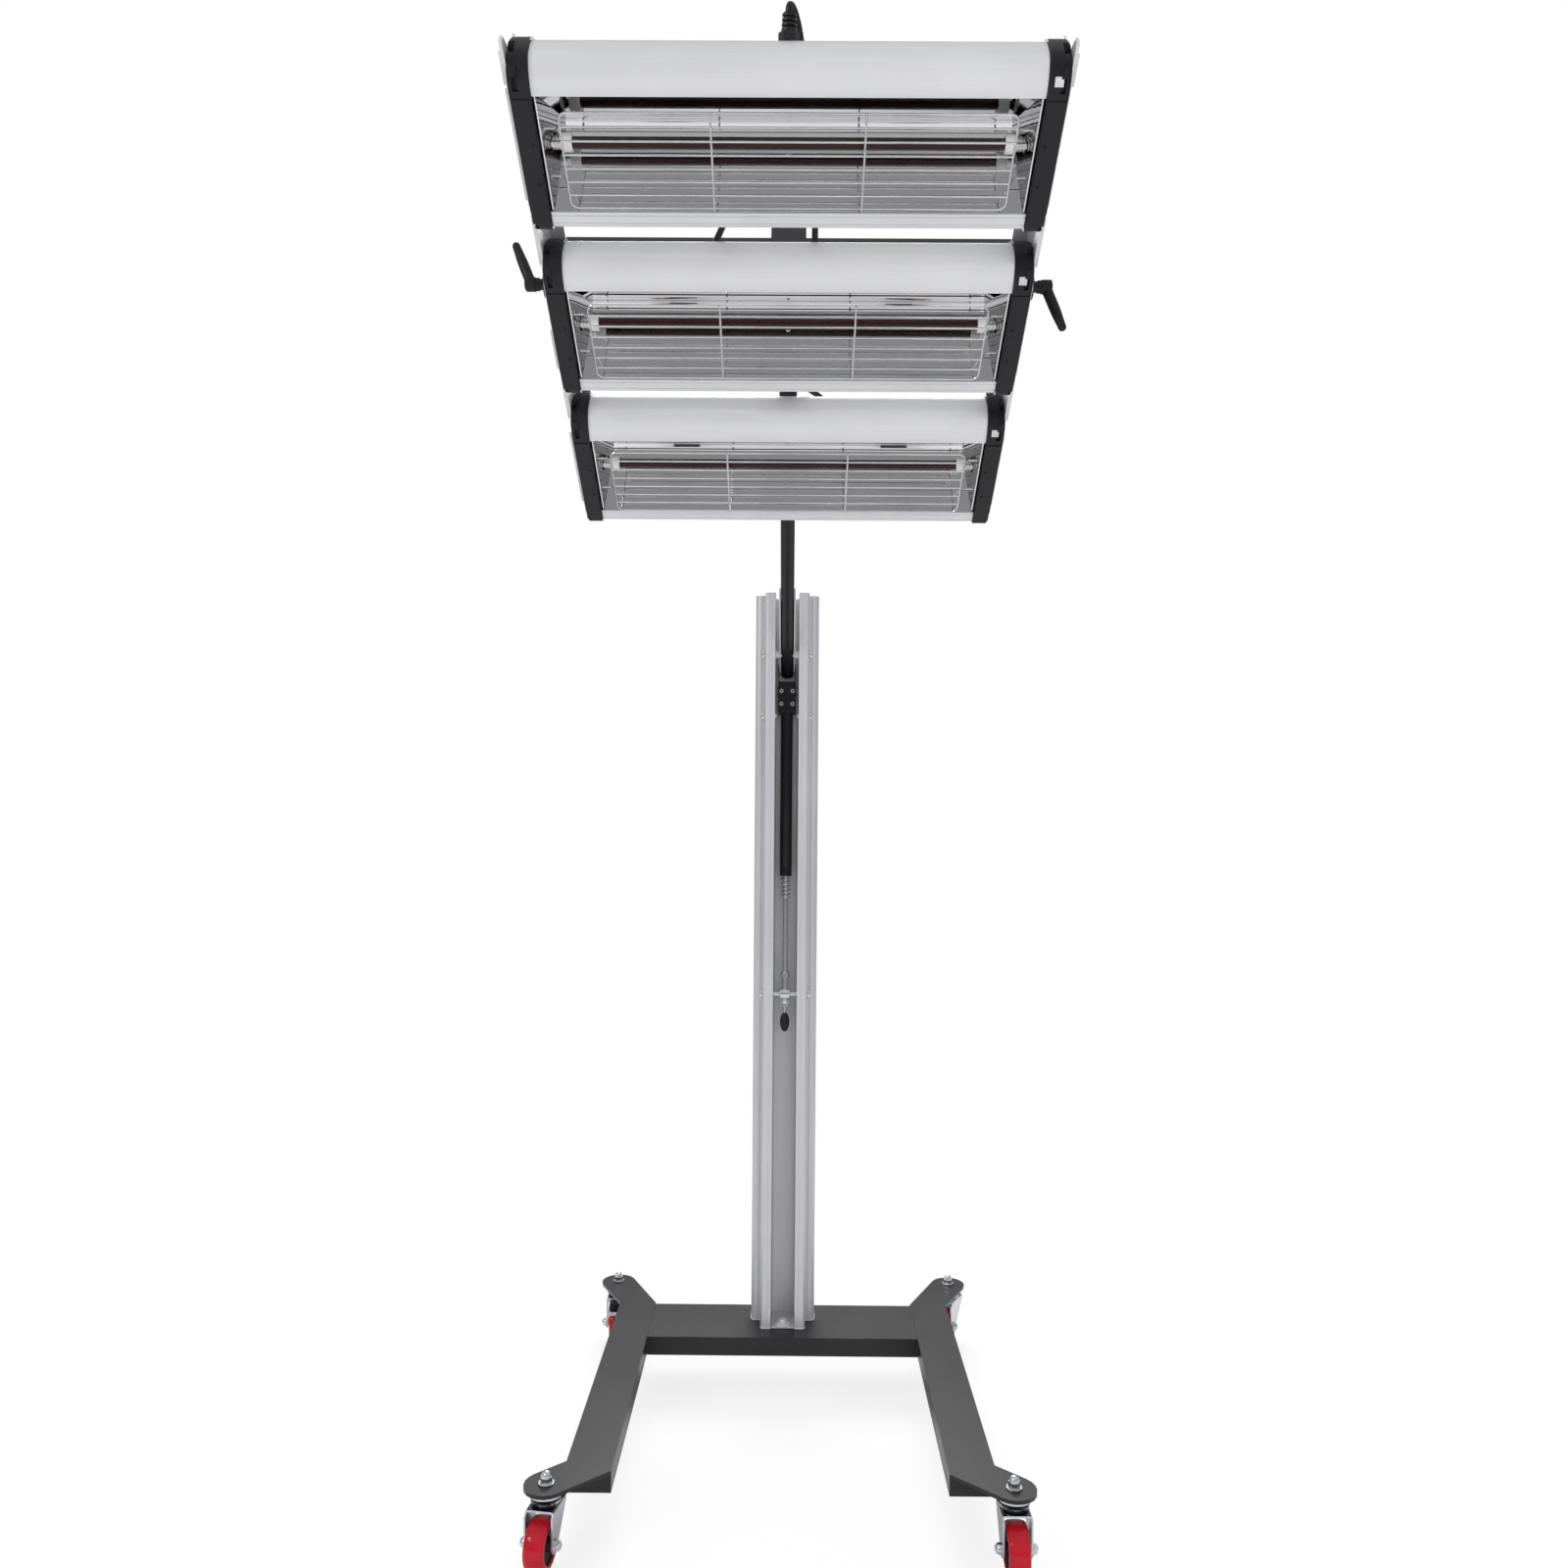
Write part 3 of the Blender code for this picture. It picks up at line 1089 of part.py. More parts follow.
def make_lever(side, name, angle, material, head):
    # Clamp lever: a stud into the cap, a round hub and a splayed tapered arm
    hub_start = yoke_inside() + YOKE_ARM_SHEET + GAP
    hub_end = hub_start + LEVER_HUB_LENGTH
    stud_start = LAMP_LENGTH / 2 + GAP + CAP_THICKNESS - LEVER_BORE_DEPTH + GAP
    neck = LEVER_HUB_RADIUS * math.sqrt(2) / 2
    body = turned([(0, stud_start), (STUD_RADIUS, stud_start), (STUD_RADIUS, hub_start), (LEVER_HUB_RADIUS, hub_start),
                   (LEVER_HUB_RADIUS, hub_end - LEVER_HUB_RADIUS + neck), (neck, hub_end), (0, hub_end)])
    arm_end = LEVER_LENGTH - LEVER_TIP_RADIUS
    tip = arc((0, arm_end), (LEVER_TIP_RADIUS, LEVER_TIP_RADIUS), 30.0, 90.0, 2)[:-1]
    arm = turned([(0, 0), (LEVER_ROOT_RADIUS, 0), (LEVER_TIP_RADIUS, arm_end)] + tip + [(0, LEVER_LENGTH)])
    arm = moved(arm, (0, 0, hub_end - LEVER_HUB_RADIUS), turn=LEVER_SPLAY - 90.0)
    lever = moved(fused(body, arm), turn=angle, axis="Z")
    lever = along_x(lever)
    if side < 0:
        lever.data.transform(Matrix.Scale(-1, 4, (1, 0, 0)))
        lever.data.flip_normals()
    return finished(lever, name, material, head)


def gland_seat():
    # Point and outward direction on the housing's upper shoulder, in the lamp's own frame
    angle = math.radians(GLAND_ANGLE)
    reach = BACK_START + TOP_REACH
    rise = LAMP_DEPTH - SHOULDER_DEPTH
    seat = Vector((0, BACK_START - reach * math.cos(angle), SHOULDER_DEPTH + rise * math.sin(angle)))
    out = Vector((0, -math.cos(angle) / reach, math.sin(angle) / rise)).normalized()
    return seat, out


def make_gland(material, lamp):
    seat, out = gland_seat()
    flange_end = GLAND_FLANGE_LENGTH
    tip = flange_end + GLAND_BODY_LENGTH
    rib = GLAND_BODY_LENGTH / GLAND_RIB_COUNT
    start = 2 * GAP
    profile = [(0, start), (GLAND_FLANGE_RADIUS, start), (GLAND_FLANGE_RADIUS, flange_end)]
    for place in range(GLAND_RIB_COUNT):
        low = flange_end + place * rib
        profile += [(GLAND_BODY_RADIUS - GLAND_RIB_DEPTH, low), (GLAND_BODY_RADIUS, low + rib / 4),
                    (GLAND_BODY_RADIUS, low + rib * 3 / 4)]
    profile += [(GLAND_BODY_RADIUS - GLAND_RIB_DEPTH, tip), (0, tip)]
    gland = turned(profile)
    lean = math.degrees(math.atan2(-out.y, out.z))
    return finished(moved(gland, seat, turn=lean), "lead_gland", material, lamp)


def smooth_path(points, steps):
    # Smooth curve through the hand-set points of a lead, its first and last stretch straight
    path = [Vector(points[0])]
    inner = points[1:-1]
    for place in range(len(inner) - 1):
        before = Vector(inner[max(place - 1, 0)])
        here = Vector(inner[place])
        there = Vector(inner[place + 1])
        after = Vector(inner[min(place + 2, len(inner) - 1)])
        for step in range(steps):
            t = step / steps
            path.append(0.5 * (2 * here + (there - before) * t
                               + (2 * before - 5 * here + 4 * there - after) * t ** 2
                               + (3 * here - before - 3 * there + after) * t ** 3))
    return path + [Vector(inner[-1]), Vector(points[-1])]


def make_lead(name, points, material, lamp):
    return finished(swept(smooth_path(points, 2), LEAD_RADIUS, 6), name, material, lamp)


def boss_top(x, y):
    # A lead's end on a boss of the housing's back and the point straight out from it
    seat = LAMP_DEPTH + LEAD_BOSS_HEIGHT + GAP
    return [(x, y, seat), (x, y, seat + LEAD_STUB)]


def top_lead_route():
    seat, out = gland_seat()
    start = seat + out * (GLAND_FLANGE_LENGTH + GLAND_BODY_LENGTH + 2 * GAP)
    return [start, start + out * LEAD_STUB] + TOP_LEAD_POINTS + boss_top(*TOP_LEAD_END)[::-1]


def left_lead_route():
    return boss_top(*LEFT_LEAD_START) + LEFT_LEAD_POINTS + boss_top(*LEFT_LEAD_END)[::-1]


def lower_lead_route():
    return boss_top(*LOWER_LEAD_START) + LOWER_LEAD_POINTS + boss_top(*LOWER_LEAD_END)[::-1]


def below(place):
    return (place[0], place[1] - LAMP_PITCH)


# Assembly

def clear_scene():
    for piece in list(bpy.data.objects):
        bpy.data.objects.remove(piece)


def make_base(materials, stand):
    make_cross_beam(materials["black_steel"], stand)
    make_beam(-1, "left_beam", materials["black_steel"], stand)
    make_beam(1, "right_beam", materials["black_steel"], stand)
    make_castor(-1, "front", -CASTOR_FRONT, FRONT_LEFT_YAW, materials, stand)
    make_castor(1, "front", -CASTOR_FRONT, FRONT_RIGHT_YAW, materials, stand)
    make_castor(-1, "back", CASTOR_BACK, BACK_LEFT_YAW, materials, stand)
    make_castor(1, "back", CASTOR_BACK, BACK_RIGHT_YAW, materials, stand)


def make_upright(materials, stand):
    make_column(materials["column_aluminium"], stand)
    make_foot(materials["zinc"], stand)
    make_cross_pin("pivot_pin", PIVOT_PIN_RADIUS, PIVOT_HEIGHT, materials["zinc"], stand)
    make_cross_pin("lower_pin", LOWER_PIN_RADIUS, LOWER_PIN_HEIGHT, materials["zinc"], stand)


def make_arm(materials, arm):
    make_arm_tube(materials["black_steel"], arm)
    make_saddle(materials["zinc"], arm)
    make_clamp(materials["black_steel"], arm)
    make_crossbar(materials["black_steel"], arm)
    make_yoke_arm(-1, "left_yoke_arm", materials["black_steel"], arm)
    make_yoke_arm(1, "right_yoke_arm", materials["black_steel"], arm)


def make_strut(materials, stand, arm):
    # The strut's line runs from the arm's tail pin down to the lower pin
    slope = math.radians(ARM_SLOPE)
    tail = Vector((STRUT_PIN_DISTANCE * math.cos(slope), PIVOT_HEIGHT - STRUT_PIN_DISTANCE * math.sin(slope)))
    lower = Vector((0, LOWER_PIN_HEIGHT))
    length = (tail - lower).length
    lean = math.degrees(math.atan2(tail.x - lower.x, tail.y - lower.y))
    strut = frame_at("strut_top", arm, (0, STRUT_PIN_DISTANCE, 0), turn_x=ARM_SLOPE - lean)
    rod_frame = frame_at("strut_bottom", stand, (0, -PIN_OFFSET, LOWER_PIN_HEIGHT), turn_x=-lean)
    lever = frame_at("release_pivot", rod_frame, (0, 0, -LUG_DROP), turn_x=lean)
    make_strut_fork(materials["black_steel"], strut)
    make_strut_tube(materials["black_steel"], strut)
    make_spring(materials["zinc"], strut)
    make_strut_rod(length, materials["zinc"], rod_frame)
    make_release_lever(materials["black_plastic"], lever)


def make_head(materials, head):
    guard = guard_shape()
    guard_mesh = guard.data
    bpy.data.objects.remove(guard)
    lamps = [make_lamp(row, guard_mesh, materials, head) for row in (-1, 0, 1)]
    make_rail(-1, "left_rail", materials["lamp_aluminium"], head)
    make_rail(1, "right_rail", materials["lamp_aluminium"], head)
    make_lever(-1, "left_clamp_lever", LEFT_LEVER_ANGLE, materials["black_plastic"], head)
    make_lever(1, "right_clamp_lever", RIGHT_LEVER_ANGLE, materials["black_plastic"], head)
    make_gland(materials["rubber"], lamps[0])
    make_lead("top_lead", top_lead_route(), materials["rubber"], lamps[0])
    make_lead("left_lead", left_lead_route(), materials["rubber"], lamps[0])
    make_lead("lower_lead", lower_lead_route(), materials["rubber"], lamps[1])


def main():
    clear_scene()
    materials = make_materials()
    stand = frame_at("stand", None, (0, COLUMN_SETBACK, 0))
    arm = frame_at("arm_pivot", stand, (0, -PIN_OFFSET, PIVOT_HEIGHT), turn_x=-ARM_SLOPE)
    head = frame_at("head_tilt", arm, (0, -TILT_ALONG_ARM, -TILT_BELOW_ARM), turn_x=ARM_SLOPE - HEAD_PITCH_ANGLE)
    make_base(materials, stand)
    make_upright(materials, stand)
    make_arm(materials, arm)
    make_strut(materials, stand, arm)
    make_head(materials, head)


main()
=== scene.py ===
import math

import bpy
import bmesh
from mathutils import Matrix, Vector


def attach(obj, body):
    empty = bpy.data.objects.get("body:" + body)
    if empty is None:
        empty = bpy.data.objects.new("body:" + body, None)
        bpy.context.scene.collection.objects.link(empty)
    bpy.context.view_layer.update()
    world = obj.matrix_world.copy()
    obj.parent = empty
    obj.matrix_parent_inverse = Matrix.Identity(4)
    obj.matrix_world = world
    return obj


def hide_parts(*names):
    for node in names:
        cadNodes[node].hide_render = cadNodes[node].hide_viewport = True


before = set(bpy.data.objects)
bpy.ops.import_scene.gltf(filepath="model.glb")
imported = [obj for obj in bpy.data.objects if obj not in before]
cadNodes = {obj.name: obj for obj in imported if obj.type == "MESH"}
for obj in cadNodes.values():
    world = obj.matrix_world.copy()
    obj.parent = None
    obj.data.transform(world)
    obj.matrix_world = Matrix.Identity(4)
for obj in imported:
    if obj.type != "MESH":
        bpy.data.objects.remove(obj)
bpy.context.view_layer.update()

made = {}   # the finished materials by name


# Places shared by all pieces, the same as in the solids

stand = {"setback": 0.3255, "pinOffset": 0.016, "pivotHeight": 1.171, "lowerPinHeight": 0.627,
         "armSlope": 38.2, "headAngle": 32.6, "tiltAlong": 0.677, "tiltBelow": 0.0937,
         "lampPitch": 0.209, "edgeToTilt": 0.0188, "faceToTilt": 0.0393, "strutPin": 0.036, "gap": 0.0003}


def spot(x, y, z, turnX=0.0, turnZ=0.0):
    turned = Matrix.Rotation(math.radians(turnZ), 4, "Z") @ Matrix.Rotation(math.radians(turnX), 4, "X")
    return Matrix.Translation((x, y, z)) @ turned


standSpot = spot(0, stand["setback"], 0)
armSpot = standSpot @ spot(0, -stand["pinOffset"], stand["pivotHeight"], -stand["armSlope"])
headSpot = armSpot @ spot(0, -stand["tiltAlong"], -stand["tiltBelow"], stand["armSlope"] - stand["headAngle"])
tailPin = armSpot @ Vector((0, stand["strutPin"], 0))
lowerPin = standSpot @ Vector((0, -stand["pinOffset"], stand["lowerPinHeight"]))
strutLine = tailPin - lowerPin
strutLean = math.degrees(math.atan2(strutLine.y, strutLine.z))
strutSpot = armSpot @ spot(0, stand["strutPin"], 0, stand["armSlope"] - strutLean)
rodSpot = standSpot @ spot(0, -stand["pinOffset"], stand["lowerPinHeight"], -strutLean)


def lampSpot(row):
    return headSpot @ spot(0, row * stand["lampPitch"] - stand["edgeToTilt"], -stand["faceToTilt"])


# Finishes

# the pattern that all finishes share: slow patches of shade and a fine grain
texture = {"patches": 9, "patchDetail": 4, "grainDetail": 5, "grainRough": 0.6, "patchShare": 0.5,
           "grainShare": 0.5, "shadeAt": (0.36, 0.64), "roughAt": (0.3, 0.7), "relief": 0.0004}
# what a finish has where it says nothing else; each one gives its two shades, its roughness from and to,
# the size of its grain and how deep the grain is, and grain is drawn out where it has a stretch
plainFinish = {"metal": 0.0, "stretch": (1, 1, 1), "coat": 0.0, "shine": 0.5}
finishes = {
    "powderCoat": {"colour": (0.0095, 0.0095, 0.0110), "shade": (0.0065, 0.0065, 0.0075),
                   "rough": (0.32, 0.44), "grain": 620, "bump": 0.22, "coat": 0.15, "shine": 0.38},
    "armBlack": {"colour": (0.0095, 0.0095, 0.011), "shade": (0.0065, 0.0065, 0.0075),
                 "rough": (0.34, 0.48), "grain": 700, "bump": 0.15, "coat": 0.1, "shine": 0.25},
    "columnSatin": {"colour": (0.66, 0.66, 0.69), "shade": (0.58, 0.58, 0.61), "metal": 0.35,
                    "rough": (0.36, 0.50), "stretch": (260, 260, 1.5), "grain": 3, "bump": 0.05},
    "lampSatin": {"colour": (0.76, 0.76, 0.77), "shade": (0.70, 0.70, 0.72), "metal": 0.35,
                  "rough": (0.38, 0.50), "stretch": (1.5, 240, 240), "grain": 3, "bump": 0.05},
    "zincPlate": {"colour": (0.78, 0.79, 0.79), "shade": (0.62, 0.63, 0.64), "metal": 1.0,
                  "rough": (0.14, 0.28), "grain": 260, "bump": 0.05},
    "forkZinc": {"colour": (0.70, 0.69, 0.74), "shade": (0.56, 0.56, 0.61), "metal": 0.9,
                 "rough": (0.15, 0.28), "grain": 220, "bump": 0.06},
    "raceZinc": {"colour": (0.22, 0.23, 0.25), "shade": (0.10, 0.11, 0.12), "metal": 1.0,
                 "rough": (0.12, 0.24), "grain": 220, "bump": 0.08},
    "mirrorSheet": {"colour": (0.84, 0.835, 0.84), "shade": (0.81, 0.805, 0.81), "metal": 1.0,
                    "rough": (0.006, 0.016), "stretch": (0.5, 2, 2), "grain": 3, "bump": 0.002},
    "rippledSheet": {"colour": (0.62, 0.615, 0.62), "shade": (0.50, 0.495, 0.50), "metal": 1.0,
                     "rough": (0.01, 0.03), "grain": 16, "bump": 1.0},
    "chromeWire": {"colour": (0.66, 0.665, 0.67), "shade": (0.50, 0.505, 0.51), "metal": 0.75,
                   "rough": (0.08, 0.18), "grain": 180, "bump": 0.03},
    "capPlastic": {"colour": (0.010, 0.0095, 0.012), "shade": (0.0065, 0.0065, 0.008),
                   "rough": (0.38, 0.52), "grain": 900, "bump": 0.25, "shine": 0.35},
    "wheelRed": {"colour": (0.52, 0.007, 0.019), "shade": (0.41, 0.005, 0.013),
                 "rough": (0.34, 0.50), "grain": 240, "bump": 0.05, "coat": 0.45, "shine": 0.1},
    "rubyQuartz": {"colour": (0.016, 0.003, 0.003), "shade": (0.034, 0.004, 0.004),
                   "rough": (0.10, 0.20), "stretch": (1, 6, 6), "grain": 30, "bump": 0.02,
                   "coat": 0.15, "shine": 0.3},
    "whiteCeramic": {"colour": (0.88, 0.87, 0.85), "shade": (0.80, 0.79, 0.77),
                     "rough": (0.42, 0.60), "grain": 420, "bump": 0.12},
    "leadRubber": {"colour": (0.013, 0.013, 0.015), "shade": (0.008, 0.008, 0.009),
                   "rough": (0.34, 0.50), "grain": 500, "bump": 0.12, "shine": 0.45},
    "darkHub": {"colour": (0.030, 0.012, 0.014), "shade": (0.020, 0.008, 0.009),
                "rough": (0.45, 0.60), "grain": 400, "bump": 0.10, "shine": 0.3},
}


def addNode(tree, kind, settings=None, **links):
    # a shader node with its inputs set, and linked from the sockets given by input name
    node = tree.nodes.new("ShaderNode" + kind)
    for entry, value in (settings or {}).items():
        if isinstance(entry, str) and hasattr(node, entry):
            setattr(node, entry, value)
        else:
            node.inputs[entry].default_value = value
    for entry, socket in links.items():
        tree.links.new(socket, node.inputs[entry])
    return node


def makeFinish(name):
    look = {**plainFinish, **finishes[name]}
    material = bpy.data.materials.new(name)
    material.use_nodes = True
    tree = material.node_tree
    shader = tree.nodes["Principled BSDF"]
    shader.inputs["Metallic"].default_value = look["metal"]
    shader.inputs["Coat Weight"].default_value = look["coat"]
    shader.inputs["Specular IOR Level"].default_value = look["shine"]
    place = addNode(tree, "TexCoord").outputs["Object"]
    # grain is drawn out along extruded or rolled metal
    patches = addNode(tree, "TexNoise", {"Scale": texture["patches"], "Detail": texture["patchDetail"]},
                      Vector=place)
    stretch = addNode(tree, "Mapping", {"Scale": look["stretch"]}, Vector=place)
    grain = addNode(tree, "TexNoise", {"Scale": look["grain"], "Detail": texture["grainDetail"],
                                       "Roughness": texture["grainRough"]}, Vector=stretch.outputs["Vector"])
    share = addNode(tree, "Math", {"operation": "MULTIPLY", 1: texture["patchShare"]})
    tree.links.new(patches.outputs["Fac"], share.inputs[0])
    blend = addNode(tree, "Math", {"operation": "MULTIPLY_ADD", 1: texture["grainShare"]})
    tree.links.new(grain.outputs["Fac"], blend.inputs[0])
    tree.links.new(share.outputs["Value"], blend.inputs[2])
    shades = addNode(tree, "ValToRGB", Fac=blend.outputs["Value"])
    stops = zip(shades.color_ramp.elements, texture["shadeAt"], (look["shade"], look["colour"]))
    for stop, at, colour in stops:
        stop.position = at
        stop.color = (*colour, 1)
    tree.links.new(shades.outputs["Color"], shader.inputs["Base Color"])
    (start, end), (low, high) = texture["roughAt"], look["rough"]
    sheen = addNode(tree, "MapRange", {"From Min": start, "From Max": end, "To Min": low, "To Max": high},
                    Value=blend.outputs["Value"])
    tree.links.new(sheen.outputs["Result"], shader.inputs["Roughness"])
    relief = addNode(tree, "Bump", {"Strength": look["bump"], "Distance": texture["relief"]},
                     Height=grain.outputs["Fac"])
    tree.links.new(relief.outputs["Normal"], shader.inputs["Normal"])
    return material


for finishName in finishes:
    made[finishName] = makeFinish(finishName)
print("finishes ready")


# Shapes

def arc(centre, radii, start, end, steps=12):
    turns = [math.radians(start + (end - start) * step / steps) for step in range(steps + 1)]
    return [(centre[0] + radii[0] * math.cos(a), centre[1] + radii[1] * math.sin(a)) for a in turns]


def mirrored(points):
    return [(-x, y) for x, y in points[::-1]]


def meshFrom(bm, name):
    bmesh.ops.recalc_face_normals(bm, faces=bm.faces)
    mesh = bpy.data.meshes.new(name)
    bm.to_mesh(mesh)
    bm.free()
    return mesh


def joinRings(bm, here, there, shift=0):
    # faces from one closed ring of points to the next, where a ring of one point is a tip
    count = max(len(here), len(there))
    for place in range(count):
        after = (place + 1) % count
        if len(here) == 1:
            bm.faces.new((here[0], there[place], there[after]))
        elif len(there) == 1:
            bm.faces.new((here[place], here[after], there[0]))
        else:
            bm.faces.new((here[place], here[after],
                          there[(after + shift) % count], there[(place + shift) % count]))


def loft(sections):
    # closed sections joined in order, with flat ends
    bm = bmesh.new()
    rings = [[bm.verts.new(point) for point in section] for section in sections]
    for here, there in zip(rings, rings[1:]):
        joinRings(bm, here, there)
    bm.faces.new(rings[0])
    bm.faces.new(rings[-1])
    return meshFrom(bm, "loft")


def sideways(outline, low, high):
    return loft([[(x, y, z) for y, z in outline] for x in (low, high)])


def upright(outline, low, high):
    return loft([[(x, y, z) for x, y in outline] for z in (low, high)])


def block(low, high):
    (left, front, bottom), (right, back, top) = low, high
    return upright([(left, front), (right, front), (right, back), (left, back)], bottom, top)


def turned(profile, sides=48, flutes=0, depth=0.0, fluted=(0, 0)):
    # a turned solid about Z from (radius, height) points, closed to the axis, part of it fluted
    if profile[0][0]:
        profile = [(0, profile[0][1])] + profile
    if profile[-1][0]:
        profile = profile + [(0, profile[-1][1])]
    bm = bmesh.new()
    rings = []
    for radius, height in profile:
        if radius == 0:
            rings.append([bm.verts.new((0, 0, height))])
            continue
        ring = []
        for step in range(sides):
            angle = math.tau * step / sides
            cutIn = depth * (0.5 - 0.5 * math.cos(flutes * angle)) if fluted[0] <= height <= fluted[1] else 0
            reach = radius - cutIn
            ring.append(bm.verts.new((reach * math.cos(angle), reach * math.sin(angle), height)))
        rings.append(ring)
    for lower, upper in zip(rings, rings[1:]):
        joinRings(bm, lower, upper)
    return meshFrom(bm, "turned")


def turnedRing(profile, sides=64):
    # a turned solid with a hole through it, from the closed outline of one side
    bm = bmesh.new()
    rings = []
    for step in range(sides):
        angle = math.tau * step / sides
        rings.append([bm.verts.new((r * math.cos(angle), r * math.sin(angle), h)) for r, h in profile])
    for step in range(sides):
        joinRings(bm, rings[step], rings[(step + 1) % sides])
    return meshFrom(bm, "ring")


def rod(radius, low, high, sides=32):
    return turned([(radius, low), (radius, high)], sides)


def swept(points, radius, sides=10, closed=False):
    # round wire along a path, carried from point to point without twist
    path = [Vector(point) for point in points]
    count = len(path)
    normal = None
    rings = []
    bm = bmesh.new()
    for place in range(count):
        before = path[place - 1] if closed or place > 0 else path[place]
        after = path[(place + 1) % count] if closed or place < count - 1 else path[place]
        along = (after - before).normalized()
        normal = along.orthogonal().normalized() if normal is None else normal
        normal = (normal - along * normal.dot(along)).normalized()
        side = along.cross(normal)
        ring = []
        for step in range(sides):
            a = math.tau * step / sides
            ring.append(bm.verts.new(path[place] + radius * (normal * math.cos(a) + side * math.sin(a))))
        rings.append(ring)
    for place in range(count if closed else count - 1):
        here, there = rings[place], rings[(place + 1) % count]
        shift = 0
        if closed and place == count - 1:
            shift = min(range(sides), key=lambda s: (here[0].co - there[s].co).length)
        joinRings(bm, here, there, shift)
    if not closed:
        bm.faces.new(rings[0])
        bm.faces.new(rings[-1])
    return meshFrom(bm, "wire")


def merged(*meshes):
    bm = bmesh.new()
    for mesh in meshes:
        bm.from_mesh(mesh)
    return meshFrom(bm, "merged")


def shifted(mesh, shift=(0, 0, 0), turn=0.0, axis="X"):
    mesh.transform(Matrix.Translation(shift) @ Matrix.Rotation(math.radians(turn), 4, axis))
    return mesh


def acrossX(mesh, shift=(0, 0, 0)):
    return shifted(mesh, shift, 90, "Y")


def flippedX(mesh):
    mesh.transform(Matrix.Scale(-1, 4, (1, 0, 0)))
    mesh.flip_normals()
    return mesh


def worked(mesh, operation, *others):
    # union or difference with other meshes
    carrier = bpy.data.objects.new("work", mesh)
    bpy.context.scene.collection.objects.link(carrier)
    tools = []
    for other in others:
        tool = bpy.data.objects.new("tool", other)
        bpy.context.scene.collection.objects.link(tool)
        step = carrier.modifiers.new("step", "BOOLEAN")
        step.operation = operation
        step.object = tool
        tools.append(tool)
    result = bpy.data.meshes.new_from_object(carrier.evaluated_get(bpy.context.evaluated_depsgraph_get()))
    for extra in tools + [carrier]:
        bpy.data.objects.remove(extra)
    return result


def smoothCourse(points, steps=8):
    # a curve through the inner points, with straight ends
    path = [Vector(points[0])]
    inner = [Vector(point) for point in points[1:-1]]
    for place in range(len(inner) - 1):
        before, here = inner[max(place - 1, 0)], inner[place]
        there, after = inner[place + 1], inner[min(place + 2, len(inner) - 1)]
        for step in range(steps):
            t = step / steps
            point = 2 * here + (there - before) * t
            point += (2 * before - 5 * here + 4 * there - after) * t ** 2
            point += (3 * here - before - 3 * there + after) * t ** 3
            path.append(0.5 * point)
    return path + [inner[-1], Vector(points[-1])]


softEdge = {"steps": 2, "from": 32, "sharpFrom": 35}


def soften(piece, width):
    edge = piece.modifiers.new("edge", "BEVEL")
    edge.width = width
    edge.segments = softEdge["steps"]
    edge.limit_method = "ANGLE"
    edge.angle_limit = math.radians(softEdge["from"])
    edge.harden_normals = True


def addPiece(name, mesh, finish, body, at, replaced=(), edge=0.0):
    piece = bpy.data.objects.new(name, mesh)
    bpy.context.scene.collection.objects.link(piece)
    if not mesh.materials:
        mesh.materials.append(made[finish])
    mesh.shade_smooth()
    if edge:
        soften(piece, edge)
    else:
        mesh.set_sharp_from_angle(angle=math.radians(softEdge["sharpFrom"]))
    piece.matrix_world = at
    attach(piece, body)
    if replaced:
        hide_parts(*replaced)


def twoFinishes(mesh, finish, other, isOther):
    # the faces that pass the test get the other finish
    mesh.materials.clear()
    mesh.materials.append(made[finish])
    mesh.materials.append(made[other])
    for face in mesh.polygons:
        face.material_index = 1 if isOther(face) else 0
    return mesh


def dressNode(node, finish, edge=0.0):
    # a solid that keeps its own shape gets its finish and softened edges
    piece = cadNodes[node]
    for place in range(len(piece.material_slots)):
        piece.material_slots[place].material = made[finish]
    if edge:
        soften(piece, edge)


# Base: beams keep their solids, with weld beads along the castor tabs

base = {"edge": 0.0011, "top": 0.095, "spread": 0.242, "width": 0.060, "front": 0.4475, "back": 0.067,
        "tab": 0.005, "crossDepth": 0.126}
bead = {"radius": 0.0014, "start": 0.002, "step": 0.004, "ripple": 0.0004, "tabSteps": 14, "joinSteps": 7}


def makeBase():
    for node in ("cross_beam", "left_beam", "right_beam"):
        dressNode(node, "powderCoat", base["edge"])
    low = base["spread"] - base["width"] / 2
    level = base["top"] - base["tab"]
    joint = base["crossDepth"] / 2
    for side, hand in ((-1, "left"), (1, "right")):
        seams = []
        for y in (-base["front"], base["back"]):
            seams.append([(side * (low + bead["start"] + step * bead["step"]), y,
                           level + bead["ripple"] * math.sin(step * 2.1))
                          for step in range(bead["tabSteps"])])
        for y in (-joint, joint):
            seams.append([(side * (low - 0.0002), y, base["top"] - bead["start"] - step * bead["step"])
                          for step in range(bead["joinSteps"])])
        beads = merged(*[swept(seam, bead["radius"], 8) for seam in seams])
        addPiece(f"{hand}_weld_beads", beads, "powderCoat", "base", standSpot)


# Castors

castor = {"spread": 0.2875, "front": 0.477, "back": 0.159, "trail": 0.018, "wheel": 0.0315, "tread": 0.0266,
          "forkWidth": 0.0368, "sheet": 0.0022, "forkTop": 0.0740, "forkFront": 0.0238, "forkBack": 0.0215,
          "bend": 0.003, "boss": 0.0100, "lowerRace": 0.0190, "lowerRaceHeight": 0.0055,
          "upperRace": 0.0215, "upperRaceHeight": 0.0060, "pin": 0.005, "stem": 0.0049,
          "washer": 0.0100, "washerHeight": 0.0016, "nut": 0.0078, "nutHeight": 0.0075, "dome": 0.0062,
          "axle": 0.004, "axleHead": 0.0070, "axleHeadLength": 0.0060}
